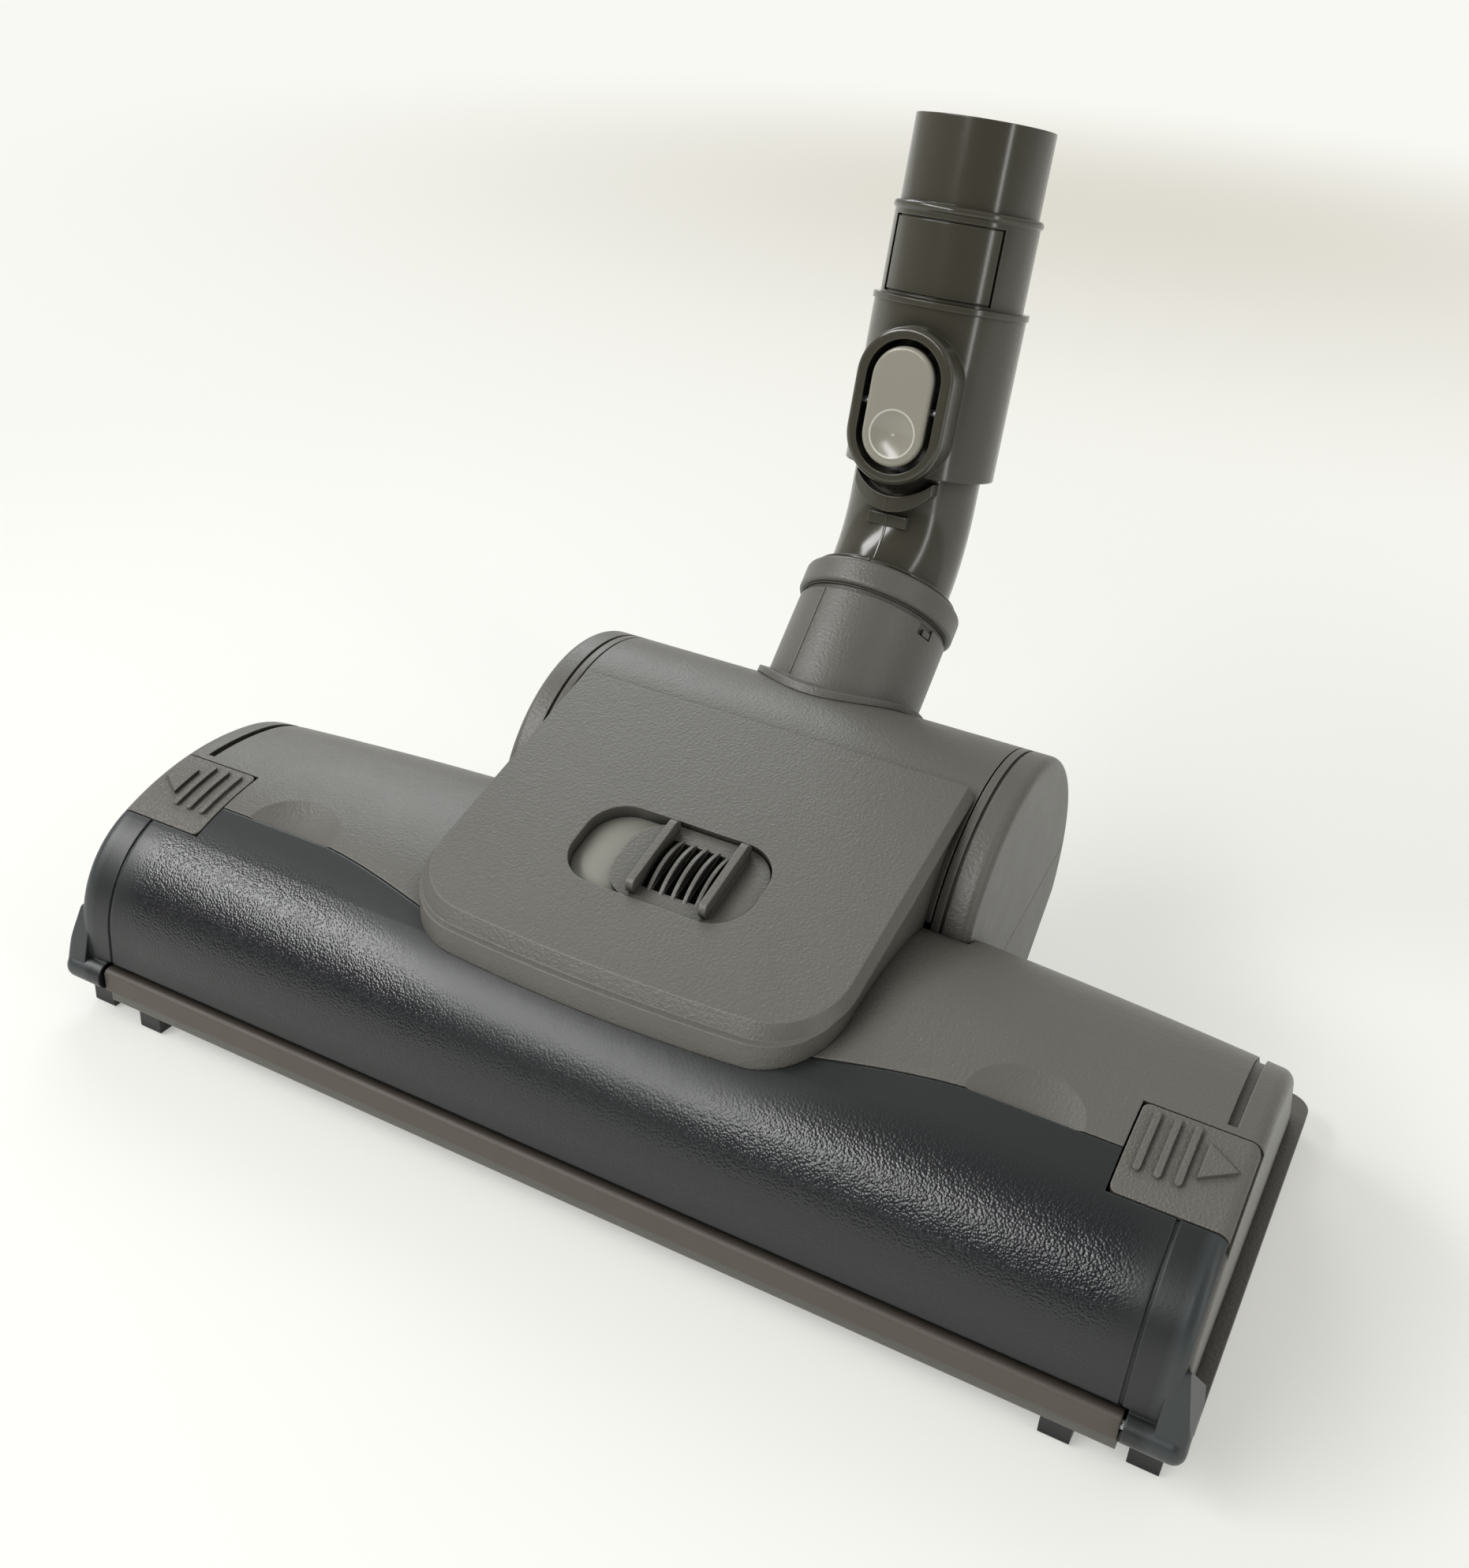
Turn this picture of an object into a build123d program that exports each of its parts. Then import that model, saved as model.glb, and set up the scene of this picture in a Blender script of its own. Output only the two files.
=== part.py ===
from build123d import *
from math import acos, asin, atan2, cos, degrees, hypot, pi, radians, sin, tan
import os

# Vacuum floor brush head with an air turbine. Millimetres, +Z up, +X to the right, +Y to the rear.
# While it is modelled, Y is 0 at the lower edge of the bumper strip. At the end everything is moved so
# that the origin is on the floor, in the middle of the whole part's footprint.

# Walls and clearances
SKIN = 2.2                 # moulded wall of the housings and the window
THIN_WALL = 1.6            # ribs, floors and small walls
SEAM = 0.4                 # gap between neighbouring visible mouldings
CLEAR = 0.3                # gap between soft, loose or curved neighbours
SEAT = 0.1                 # gap between pieces that are fixed to each other
PRESS = 0.02               # radial play of pins, seats and bushes that are pressed in
FAR = 200.0                # reach of cutting blocks, past every outer face
RUN = 0.06                 # radial clearance of every pin, shaft and journal

# The head's outer skin: end faces, and the arcs of its cross-section
HALF_LENGTH = 135.7
END_ROUNDING = 3.0
BASE_Z = 8.0               # underside of the upper housing, top of the sole plate
FRONT_FOOT_Y = 1.6         # front of the skin at its base
NOSE_R = 27.0              # round front over the brush
TOP_R = 75.0               # gently curved top at the ends
TOP_R_MIDDLE = 95.0        # flatter and higher in the middle
REAR_R = 35.0
NOSE_END = 115.0           # angle where the nose meets the top
REAR_START = 80.0          # angle where the top turns down, at the ends
REAR_START_MIDDLE = 84.0
REAR_END = 45.0
REAR_END_MIDDLE = 40.0
REAR_FOOT_Y = 118.0        # where the rear slope meets the base

# Brush
BRUSH_Y = 29.2
BRUSH_Z = 23.0
BRISTLE_R = 22.3
CORE_R = 9.0
BRUSH_HALF = HALF_LENGTH - 19.2
STUB_R = 3.0
BUSH_R = 6.0
BUSH_WIDTH = 5.0
TUFT_R = 1.5
TUFTS_PER_ROW = 34
BRISTLE_ROWS = 2
ROW_TWIST = 300.0          # degrees that a row turns from end to end

# Swivel drum, its end caps and the turbine in it
DRUM_Y = 110.0
DRUM_Z = 42.3
DRUM_R = 38.6
DRUM_WALL = 2.0
DRUM_HALF = 53.2
CAP_HALF = 62.6
CAP_ROUNDING = 2.4
CAP_FLANGE = 1.5
CAP_SEAM_ANGLE = 14.5      # slope of the parting seam on the cap's face
CAP_SEAM_DROP = 7.8        # distance of that seam below the drum's axis
CAP_FLAT_Y = 140.0         # a point on the flattened rear underside of the caps
CAP_FLAT_Z = 25.2
CAP_FLAT_ANGLE = 50.0
DRUM_REAR_EDGE = -30.0     # angles of the drum's shell, 0 to the rear and 90 up
DRUM_FRONT_EDGE = 160.0
TROUGH_TOP = 4.0           # the trough inside the shell reaches up to this angle
TRUNNION_R = 12.0
TRUNNION_BORE = 10.0
ROTOR_R = 31.0
ROTOR_HALF = 42.0
ROTOR_HUB_R = 6.5
ROTOR_BLADES = 11
SHAFT_R = 2.5
BEARING_R = 5.0
BEARING_WIDTH = 1.8

# Belt drive, on the left
BELT_X = -57.4
BELT_WIDTH = 3.6
BELT_THICKNESS = 1.2
BRUSH_TEETH = 22
ROTOR_TEETH = 10
TOOTH_PITCH = 3.4
TOOTH_DEPTH = 0.8

# Neck, elbow and adaptor
NECK_ANGLE = 45.7          # elevation of the lower neck
NECK_R = 20.3
NECK_BORE = 18.2
NECK_END = 63.0            # measured along the neck from the drum's axis
LIP_R = 23.0
LIP_THICKNESS = 1.7
COLLAR_R = 21.4
COLLAR_END = 70.4
ELBOW_R = 16.5
ELBOW_BORE = 14.5
ELBOW_START = 57.0
BEND_AT = 85.5             # where the two axes cross, along the neck
BEND_ANGLE = 33.6
BEND_R = 40.0
SLEEVE_START = 20.9        # these are measured from there along the upper axis
SLEEVE_END = 63.2
SLEEVE_R = 19.6
TUBE_R = 18.4
RIM_R = 17.6
HOSE_BORE = 15.8
BEAD_AT = 84.7
BEAD_R = 19.0
RIM_END = 106.2

# Release button in the sleeve's oval boss
BOSS_FACE = 24.4           # distance of the boss's face from the tube's axis
BOSS_WIDTH = 25.6
BOSS_LENGTH = 38.7
BOSS_MIDDLE = 37.5
BUTTON_WIDTH = 16.4
BUTTON_LENGTH = 29.6
BUTTON_MIDDLE = 37.4
BUTTON_THICKNESS = 2.8
BUTTON_PROUD = 0.8
DIMPLE_R = 5.9
WELL_GAP = 1.7
BUTTON_PIN_R = 1.2

# Sloping shield over the middle
SHIELD_SLOPE = 0.325
SHIELD_Z_AT_20 = 56.6      # height of its face at Y = 20
SHIELD_HALF = 51.0
SHIELD_FRONT_Y = 15.2
SHIELD_FRONT_SAG = 2.4
SHIELD_REAR_Y = 91.5
SHIELD_CORNER_R = 16.0
RIM_BEVEL = 1.8
RIM_DROP = 2.6

# Air slider and its recess, in the shield's own plane
RECESS_Y = 47.9
RECESS_LENGTH = 46.2
RECESS_WIDTH = 24.4
RECESS_CORNER_R = 9.5
RECESS_DEPTH = 3.4
SLIDER_LENGTH = 35.0
SLIDER_BASE = 2.0
SLIDER_RIBS = 5
RIB_PITCH = 3.0

# Latch tiles
LATCH_OUT_X = HALF_LENGTH - 0.5
LATCH_IN_X = LATCH_OUT_X - 23.2
LATCH_FRONT_Y = 19.4
LATCH_REAR_Y = 40.6
LATCH_THICKNESS = 2.4
LATCH_TRAVEL = 5.0
LATCH_RIBS = 3
LATCH_RIB_PITCH = 4.0

# Window, bumper strip and sole
SCOOP_X = HALF_LENGTH - 44.2
SCOOP_R = 11.9
SCOOP_DEPTH = 1.9
WINDOW_SEAM_Y = 28.7       # seam beside the latches
SEAM_MIDDLE_Y = 17.2       # the seam comes forward in the middle
SEAM_STRAIGHT_X = SCOOP_X - SCOOP_R
WINDOW_BASE_Z = 16.0
WINDOW_HALF = HALF_LENGTH - 0.7
BAND_X = HALF_LENGTH - 9.7     # inner edge of the window's thick end band
BAND_THICKENING = 1.0
HINGE_Y = 2.2
HINGE_Z = 11.8
KNUCKLE_R = 3.5
KNUCKLE_IN_X = HALF_LENGTH - 8.3
KNUCKLE_OUT_X = HALF_LENGTH + 3.5
KNUCKLE_ROUNDING = 2.6
HINGE_PIN_R = 1.2
PIN_OVERLAP = 4.0          # the pin stops this far inside the knuckle and inside the strip
STRIP_HALF = HALF_LENGTH - 9.0
STRIP_TOP_Z = 14.6
STRIP_DEPTH = 3.0
STRIP_FACE_Y = 0.2
SOLE_THICKNESS = 3.0
SOLE_HALF = HALF_LENGTH + 3.3
SOLE_FRONT_Y = 1.8
LEDGE_FRONT_Y = 12.7       # tip of the ledge, which slants back to the end wall
LEDGE_SLANT = 5.9
SOLE_REAR_Y = 125.4
SOLE_CORNER_R = 6.0
WHEEL_R = 7.0
WHEEL_WIDTH = 10.0
WHEEL_X = HALF_LENGTH - 31.7
WHEEL_Y = 103.0
AXLE_R = 1.5

# Smaller features
SKIRT_SETBACK = 0.9        # the shield's skirt stands back from its rim
BLEED_HALF = 38.0          # air opening in the skin under the shield
BLEED_Y0 = 36.0
BLEED_Y1 = 64.0
CHANNEL_X = HALF_LENGTH - 8.1  # narrow channel over each end of the housing
CHANNEL_WIDTH = 2.0
CHANNEL_DEPTH = 1.2
CHEEK_ROUNDING = 2.0       # edge of the end wall where it shows beside the window
SHADOW_GAP = 0.5           # dark line between the housing's foot and the sole
BAND_GROOVE = 0.8
FLARE_REAR_Y = 18.2        # the swelling behind the knuckle ends here
FLARE_TOP_Z = 28.0
FLARE_SLANT = 6.0
FLARE_SETBACK = 0.6        # the swelling stands back from the knuckle's round front
FLARE_ROUNDING = 1.8
LATCH_CORNER_R = 1.6
LATCH_FIGURE_Y = 31.6      # middle of the ribs and the arrow on the tile
LATCH_RIB_START = 3.3
LATCH_RIB_LENGTH = 14.4
LATCH_RIB_WIDTH = 1.4
LATCH_RELIEF = 0.8
ARROW_START = 14.1
ARROW_LENGTH = 6.6
ARROW_HALF = 4.25
KEEL_X0 = LATCH_IN_X + 6.5
KEEL_X1 = LATCH_IN_X + 13.5
KEEL_Y = 34.5
KEEL_HALF = 1.6
KEEL_FOOT = 2.4
LATCH_SPRING_R = 1.7
LATCH_WIRE_R = 0.35
LATCH_SPRING_Z = 44.4
SLOT_WIDTH = 1.7
SLOT_LENGTH = 15.0
RIB_WIDTH = 0.9
RIB_HEIGHT = 2.4
RIDGE_WIDTH = 1.8
RIDGE_HEIGHT = 4.2
WEB_X = 49.6               # inner face of the drum's webs
TROUGH_R = 36.0
TROUGH_FRONT = -150.0
TROUGH_WIDE_END = -72.0
PORT_HALF = 44.0           # air port from the brush chamber to the turbine
PORT_BASE_Z = 26.4
PORT_TOP_Z = 42.0
PULLEY_SEAT_R = 7.0
SIDE_WALL_TOP_Z = 41.0      # the chamber's side walls stay under the latches
MOULD_SEAM_ANGLE = -25.0
TUBE_START = 38.2
SPIGOT_END = 56.0
CRESCENT_AT = 15.0         # lowest point of the catch lip's hollow, and its highest point below
CRESCENT_FOOT = 11.0
CRESCENT_HOLLOW_R = 14.0
CRESCENT_OUTER_R = 12.5
CRESCENT_HALF = 10.5
CRESCENT_PROUD_R = 20.1
FLANGE_R = 19.6            # thin flange of the elbow on top of the collar
FLANGE_THICKNESS = 1.2
CATCH_ANGLE = 62.0         # small catch in the neck under the collar, on the right
CATCH_WIDTH = 5.0
CATCH_HEIGHT = 3.2
CATCH_DEPTH = 0.9
HOOK_WIDTH = 6.0
HOOK_HEIGHT = 2.4
HOOK_DEPTH = 15.8
HOOK_AT = 49.4
BUTTON_PIN_DEPTH = 21.0
PANEL_WIDTH = 28.4
BOSS_Z = 12.0              # where the lower bosses meet the upper ones
SCREW_BOSS_R = 4.0
SCREW_R = 1.4
SCREW_HEAD_R = 3.0
SCREW_HEAD = 1.8
SCREW_GRIP = 9.0
SCREW_MIDDLE_Y = 66.0
SCREW_REAR_Y = 99.0
LIFTER_X0 = 45.0           # lint lifters under the sole
LIFTER_X1 = BRUSH_HALF - 4.5
LIFTER_WIDTH = 6.0
LIFTER_DEPTH = 1.4
FOOT_WIDTH = 6.4
FOOT_LENGTH = 4.4

SOLE_Z = BASE_Z - SOLE_THICKNESS
SHIELD_ANGLE = degrees(atan2(SHIELD_SLOPE, 1))
CHAMBER_REAR_Y = BRUSH_Y + BRISTLE_R + 2.5
CHAMBER_HALF = BRUSH_HALF + 1.5
CHEEK_INSET = LATCH_THICKNESS + CLEAR
SCREW_SPOTS = [(side * x, y) for side in (-1, 1) for x, y in (
    (HALF_LENGTH - 9.7, SCREW_MIDDLE_Y), (CAP_HALF + 13.4, SCREW_MIDDLE_Y), (WHEEL_X + 15.0, SCREW_REAR_Y))]


# Helpers

def slab(x0, x1, y0, y1, z0, z1):
    """A block between two corners."""
    return Pos((x0 + x1) / 2, (y0 + y1) / 2, (z0 + z1) / 2) * Box(x1 - x0, y1 - y0, z1 - z0)


def rod_x(radius, x0, x1, y, z):
    """A cylinder along X."""
    return Pos((x0 + x1) / 2, y, z) * Rot(0, 90, 0) * Cylinder(radius, x1 - x0)


def pipe_x(outer, inner, x0, x1, y, z):
    """A ring along X."""
    return rod_x(outer, x0, x1, y, z) - rod_x(inner, x0 - 1, x1 + 1, y, z)


def prism_z(face, z0, z1):
    """A plan outline raised between two heights."""
    return extrude(Pos(0, 0, z0) * face, z1 - z0)


def mirrored(shape):
    """The same piece on the other end of the head."""
    return mirror(shape, Plane.YZ)


def on_circle(centre, radius, angle):
    """A point on a circle in the YZ plane, as (y, z)."""
    return centre[0] + radius * cos(radians(angle)), centre[1] + radius * sin(radians(angle))


def side_face(points):
    """A polygon face in the YZ plane from (y, z) points."""
    return Plane.YZ * make_face(Polyline(*points, close=True))


def drum_wedge(start, end, half, reach=60.0):
    """A wedge about the drum's axis between two angles, to cut arcs out of round shells."""
    steps = max(2, int((end - start) / 30) + 1)
    angles = [start + (end - start) * i / steps for i in range(steps + 1)]
    rim = [on_circle((DRUM_Y, DRUM_Z), reach, a) for a in angles]
    return extrude(side_face([(DRUM_Y, DRUM_Z)] + rim), half, both=True)


# Outer skin of the head

def skin_section(x, middle, inset, base):
    """Cross-section of the head at x, drawn inset from the outer skin, closed along a straight base."""
    nose = (BRUSH_Y, BRUSH_Z)
    top_r = TOP_R_MIDDLE if middle else TOP_R
    rear_start = REAR_START_MIDDLE if middle else REAR_START
    rear_end = REAR_END_MIDDLE if middle else REAR_END
    top = on_circle(nose, NOSE_R - top_r, NOSE_END)
    rear = on_circle(top, top_r - REAR_R, rear_start)
    slope_top = on_circle(rear, REAR_R, rear_end)
    run_y, run_z = REAR_FOOT_Y - slope_top[0], BASE_Z - slope_top[1]
    inner_top = on_circle(rear, REAR_R - inset, rear_end)
    share = (base - inner_top[1]) / run_z
    foot = (inner_top[0] + run_y * share, base)
    face_top = on_circle(nose, NOSE_R - inset, 180)
    lean = (BRUSH_Y - NOSE_R - FRONT_FOOT_Y) / (BRUSH_Z - BASE_Z)
    front_foot = (face_top[0] - lean * (BRUSH_Z - base), base)
    outline = [
        Line(front_foot, face_top),
        CenterArc(nose, NOSE_R - inset, 180, NOSE_END - 180),
        CenterArc(top, top_r - inset, NOSE_END, rear_start - NOSE_END),
        CenterArc(rear, REAR_R - inset, rear_start, rear_end - rear_start),
        Line(inner_top, foot),
        Line(foot, front_foot),
    ]
    return Plane(origin=(x, 0, 0), x_dir=(0, 1, 0), z_dir=(1, 0, 0)) * make_face(outline)


def skin(inset, end_inset=None, base=BASE_Z):
    """Solid block of the head's outer form, drawn in by the inset, with its crown in the middle."""
    half = HALF_LENGTH - (inset if end_inset is None else end_inset)
    return loft([
        skin_section(-half, False, inset, base),
        skin_section(0, True, inset, base),
        skin_section(half, False, inset, base),
    ])


def rounded_skin():
    """The outer block with rounded end edges."""
    block = skin(0)
    ends = block.edges().filter_by(lambda e: abs(abs(e.center().X) - HALF_LENGTH) < 0.01)
    ends = ends.filter_by(lambda e: e.bounding_box().max.Z > BASE_Z + 1)
    return fillet(ends, END_ROUNDING)


OUTER = rounded_skin()
INNER = skin(SKIN, base=-20.0)


def seam_outline(shift):
    """Plan of everything in front of the window's seam, moved forward by the shift."""
    dip = WINDOW_SEAM_Y - SEAM_MIDDLE_Y
    shares = [(1, 0), (0.78, 0.243), (0.52, 0.643), (0, 1)]
    knots = [(-across, down) for across, down in shares] + shares[-2::-1]
    knots = [(SEAM_STRAIGHT_X * across, WINDOW_SEAM_Y - shift - dip * down) for across, down in knots]
    reach = HALF_LENGTH + 20
    level = WINDOW_SEAM_Y - shift
    outline = [
        Line((-reach, -30), (-reach, level)),
        Line((-reach, level), knots[0]),
        Spline(*knots),
        Line(knots[-1], (reach, level)),
        Line((reach, level), (reach, -30)),
        Line((reach, -30), (-reach, -30)),
    ]
    return make_face(outline)


def plan_rectangle(x0, x1, y0, y1, corner):
    """A rounded rectangle in plan, given by its corners."""
    return Pos((x0 + x1) / 2, (y0 + y1) / 2) * RectangleRounded(x1 - x0, y1 - y0, corner)


# Shield frame: local X is across, local Y up the slope, local Z out of the face

def shield_plane(y=RECESS_Y, lift=0.0):
    """Plane in the shield's face at the given Y, moved out along its normal."""
    z = SHIELD_Z_AT_20 + SHIELD_SLOPE * (y - 20)
    normal = Vector(0, -sin(radians(SHIELD_ANGLE)), cos(radians(SHIELD_ANGLE)))
    return Plane(origin=Vector(0, y, z) + normal * lift, x_dir=(1, 0, 0), z_dir=normal)


def shield_outline(grow=0.0):
    """Plan outline of the shield, with a bowed front edge and round front corners."""
    front = SHIELD_FRONT_Y - grow
    half = SHIELD_HALF + grow
    side = front + SHIELD_FRONT_SAG
    outline = [
        ThreePointArc((-half, side), (0, front), (half, side)),
        Line((half, side), (half, SHIELD_REAR_Y)),
        Line((half, SHIELD_REAR_Y), (-half, SHIELD_REAR_Y)),
        Line((-half, SHIELD_REAR_Y), (-half, side)),
    ]
    face = make_face(outline)
    corners = face.vertices().filter_by(lambda v: v.Y < side + 1)
    return fillet(corners, SHIELD_CORNER_R + grow)


def recess_prism(shrink, top, bottom):
    """The slider recess's rounded outline between two heights over the shield's face."""
    corner = RECESS_CORNER_R - shrink
    face = RectangleRounded(RECESS_LENGTH - 2 * shrink, RECESS_WIDTH - 2 * shrink, corner)
    return shield_plane(lift=bottom) * extrude(face, top - bottom)


def shield_face(grow, lift):
    """The shield's outline laid in its sloping plane, for the bevel's loft."""
    plane = shield_plane(lift=lift)
    flat = Pos(0, -plane.origin.Y) * shield_outline(grow)
    return plane * scale(flat, by=(1, 1 / cos(radians(SHIELD_ANGLE)), 1))


def build_shield():
    """Sloping cover with a bevelled rim, a skirt down to the housing and a cup for the slider."""
    seat_top = -RECESS_DEPTH
    cup_floor = seat_top - THIN_WALL
    hollow = prism_z(shield_outline(-THIN_WALL), -FAR, FAR)
    skirt = prism_z(shield_outline(RIM_BEVEL - SKIRT_SETBACK), BASE_Z, FAR) - hollow
    below_rim = shield_plane(lift=-RIM_DROP - 60.0) * Box(2 * FAR, 2 * FAR, 120)
    shell = loft([shield_face(0, 0), shield_face(RIM_BEVEL, -RIM_DROP)], ruled=True)
    shell += skirt & below_rim
    shell += recess_prism(-THIN_WALL, -RIM_DROP, cup_floor - THIN_WALL)
    shell -= recess_prism(0, 1.0, cup_floor)
    shell -= recess_prism(2 * THIN_WALL, 0, cup_floor - 2 * THIN_WALL)
    shell -= skin(-SEAT, base=-20.0)
    shell -= rod_x(DRUM_R + CLEAR, -FAR, FAR, DRUM_Y, DRUM_Z)
    return shell


# Upper housing

def window_zone(shift):
    """Room of the window: ahead of the seam, and ahead of the latches at the ends."""
    zone = prism_z(seam_outline(shift), -FAR, FAR)
    under_latch = slab(LATCH_IN_X - SEAM, FAR, LATCH_FRONT_Y - SEAM, FAR, -FAR, FAR)
    return zone - under_latch - mirrored(under_latch)


def end_cheek():
    """End wall that shows beside the window: inside the window's edge, and clear of its knuckle."""
    block = skin(CHEEK_INSET, end_inset=0)
    rim = block.edges().filter_by(lambda e: e.center().X > HALF_LENGTH - 0.01)
    block = fillet(rim.filter_by(lambda e: e.bounding_box().max.Z > BASE_Z + 1), CHEEK_ROUNDING)
    wall = block & slab(HALF_LENGTH - SKIN, HALF_LENGTH, -FAR, WINDOW_SEAM_Y + SKIN, BASE_Z, FAR)
    return wall - rod_x(KNUCKLE_R + 3 * CLEAR, 0, FAR, HINGE_Y, HINGE_Z)


def latch_room():
    """Pocket of one latch tile, open at the end face."""
    plan = slab(LATCH_IN_X - SEAM, FAR, LATCH_FRONT_Y - SEAM, LATCH_REAR_Y + SEAM, BASE_Z, FAR)
    return plan - skin(CHEEK_INSET, end_inset=-SKIN * 10)


def latch_floor():
    """Floor and rim under one latch tile, with the slot that guides its keel."""
    rim_x, rim_y = LATCH_IN_X - SEAM - THIN_WALL, LATCH_REAR_Y + SEAM + THIN_WALL
    end_x = HALF_LENGTH - SKIN / 2
    below = skin(CHEEK_INSET + THIN_WALL, end_inset=-SKIN, base=-20.0)
    floor = slab(rim_x, end_x, LATCH_FRONT_Y + SEAM, rim_y, BASE_Z, FAR)
    floor = (floor & skin(CHEEK_INSET, end_inset=0)) - below
    wall = skin(SKIN / 2, end_inset=0) - below
    frame = slab(rim_x, end_x, WINDOW_SEAM_Y, rim_y, BASE_Z, FAR)
    frame -= slab(rim_x + THIN_WALL, FAR, -FAR, rim_y - THIN_WALL, -FAR, FAR)
    slot = slab(KEEL_X0 - CLEAR, KEEL_X1 + LATCH_TRAVEL + CLEAR,
                KEEL_Y - KEEL_HALF - CLEAR, KEEL_Y + KEEL_HALF + CLEAR, BASE_Z, FAR)
    return floor + (wall & frame) - slot


def scoop_tools():
    """Ball that presses one finger scoop, and the pad that keeps the skin's thickness under it."""
    radius = (SCOOP_R ** 2 + SCOOP_DEPTH ** 2) / (2 * SCOOP_DEPTH)
    top_centre = on_circle((BRUSH_Y, BRUSH_Z), NOSE_R - TOP_R, NOSE_END)
    tilt = degrees(acos((WINDOW_SEAM_Y - top_centre[0]) / TOP_R))
    centre = on_circle(top_centre, TOP_R + radius - SCOOP_DEPTH, tilt)
    ball = Pos(SCOOP_X, *centre) * Sphere(radius)
    pad = skin(SKIN / 2) - skin(SKIN + SCOOP_DEPTH, base=-20)
    pad = pad & (Pos(SCOOP_X, WINDOW_SEAM_Y, 50) * Cylinder(SCOOP_R + SKIN, 60))
    return ball, pad


def screw_boss(x, y):
    """Boss inside the upper housing that a screw from below bites into."""
    boss = Pos(x, y, BOSS_Z + 30) * Cylinder(SCREW_BOSS_R, 60)
    return boss & skin(SKIN / 2, base=BOSS_Z)


def build_upper_housing():
    """Upper shell with end cheeks, latch pockets, scoops, end channels and the round bay for the drum."""
    shell = OUTER - INNER
    ball, pad = scoop_tools()
    floor = latch_floor()
    cheek = end_cheek()
    channel = slab(CHANNEL_X, CHANNEL_X + CHANNEL_WIDTH, LATCH_REAR_Y + SKIN, SOLE_REAR_Y, BASE_Z, FAR)
    channel -= skin(CHANNEL_DEPTH, end_inset=-SKIN)
    shell += pad + mirrored(pad)
    shell -= window_zone(0)
    shell += cheek + mirrored(cheek)
    for cut in (ball, latch_room(), channel):
        shell -= cut
        shell -= mirrored(cut)
    shell += floor + mirrored(floor)
    for x, y in SCREW_SPOTS:
        shell += screw_boss(x, y)
        shell -= Pos(x, y, BOSS_Z) * Cylinder(SCREW_R, 2 * SCREW_GRIP)
    shell -= rod_x(DRUM_R + SEAM, -CAP_HALF - SEAM, CAP_HALF + SEAM, DRUM_Y, DRUM_Z)
    shell -= slab(-BLEED_HALF, BLEED_HALF, BLEED_Y0, BLEED_Y1, WINDOW_BASE_Z, FAR)
    foot = slab(-FAR, FAR, -FAR, FAR, BASE_Z - 1, BASE_Z + SHADOW_GAP)
    return shell - (foot - skin(SKIN / 2, base=-20.0))


# Window, its pins and the bumper strip

def build_window():
    """Smoky front cover with thick end bands and a swollen hinge knuckle at each lower corner."""
    long_inner = skin(SKIN, end_inset=-SKIN, base=-20.0)
    shell = (OUTER - long_inner) & window_zone(SEAM)
    shell &= slab(-WINDOW_HALF, WINDOW_HALF, -FAR, FAR, BASE_Z + SEAM, FAR)
    cover = shell & slab(-FAR, FAR, -FAR, FAR, WINDOW_BASE_Z, FAR)
    foot = shell & slab(KNUCKLE_IN_X, FAR, -FAR, FAR, BASE_Z, WINDOW_BASE_Z + 1)
    band = skin(SKIN / 2) - skin(SKIN + BAND_THICKENING, end_inset=-SKIN, base=-20.0)
    band &= slab(BAND_X, HALF_LENGTH - SKIN - SEAM, -FAR, FAR, WINDOW_BASE_Z, FAR)
    band &= window_zone(SEAM)
    groove = slab(BAND_X - BAND_GROOVE, BAND_X, -FAR, FAR, 0, FAR)
    groove -= skin(BAND_GROOVE / 2, end_inset=-SKIN, base=-20.0)
    barrel = rod_x(KNUCKLE_R, KNUCKLE_IN_X, KNUCKLE_OUT_X, HINGE_Y, HINGE_Z)
    barrel = fillet(barrel.edges().filter_by(GeomType.CIRCLE).sort_by(Axis.X)[-1], KNUCKLE_ROUNDING)
    for part in (foot, band, barrel, knuckle_flare()):
        cover += part
        cover += mirrored(part)
    for cut in (groove, hinge_pin(RUN)):
        cover -= cut
        cover -= mirrored(cut)
    return cover


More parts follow.
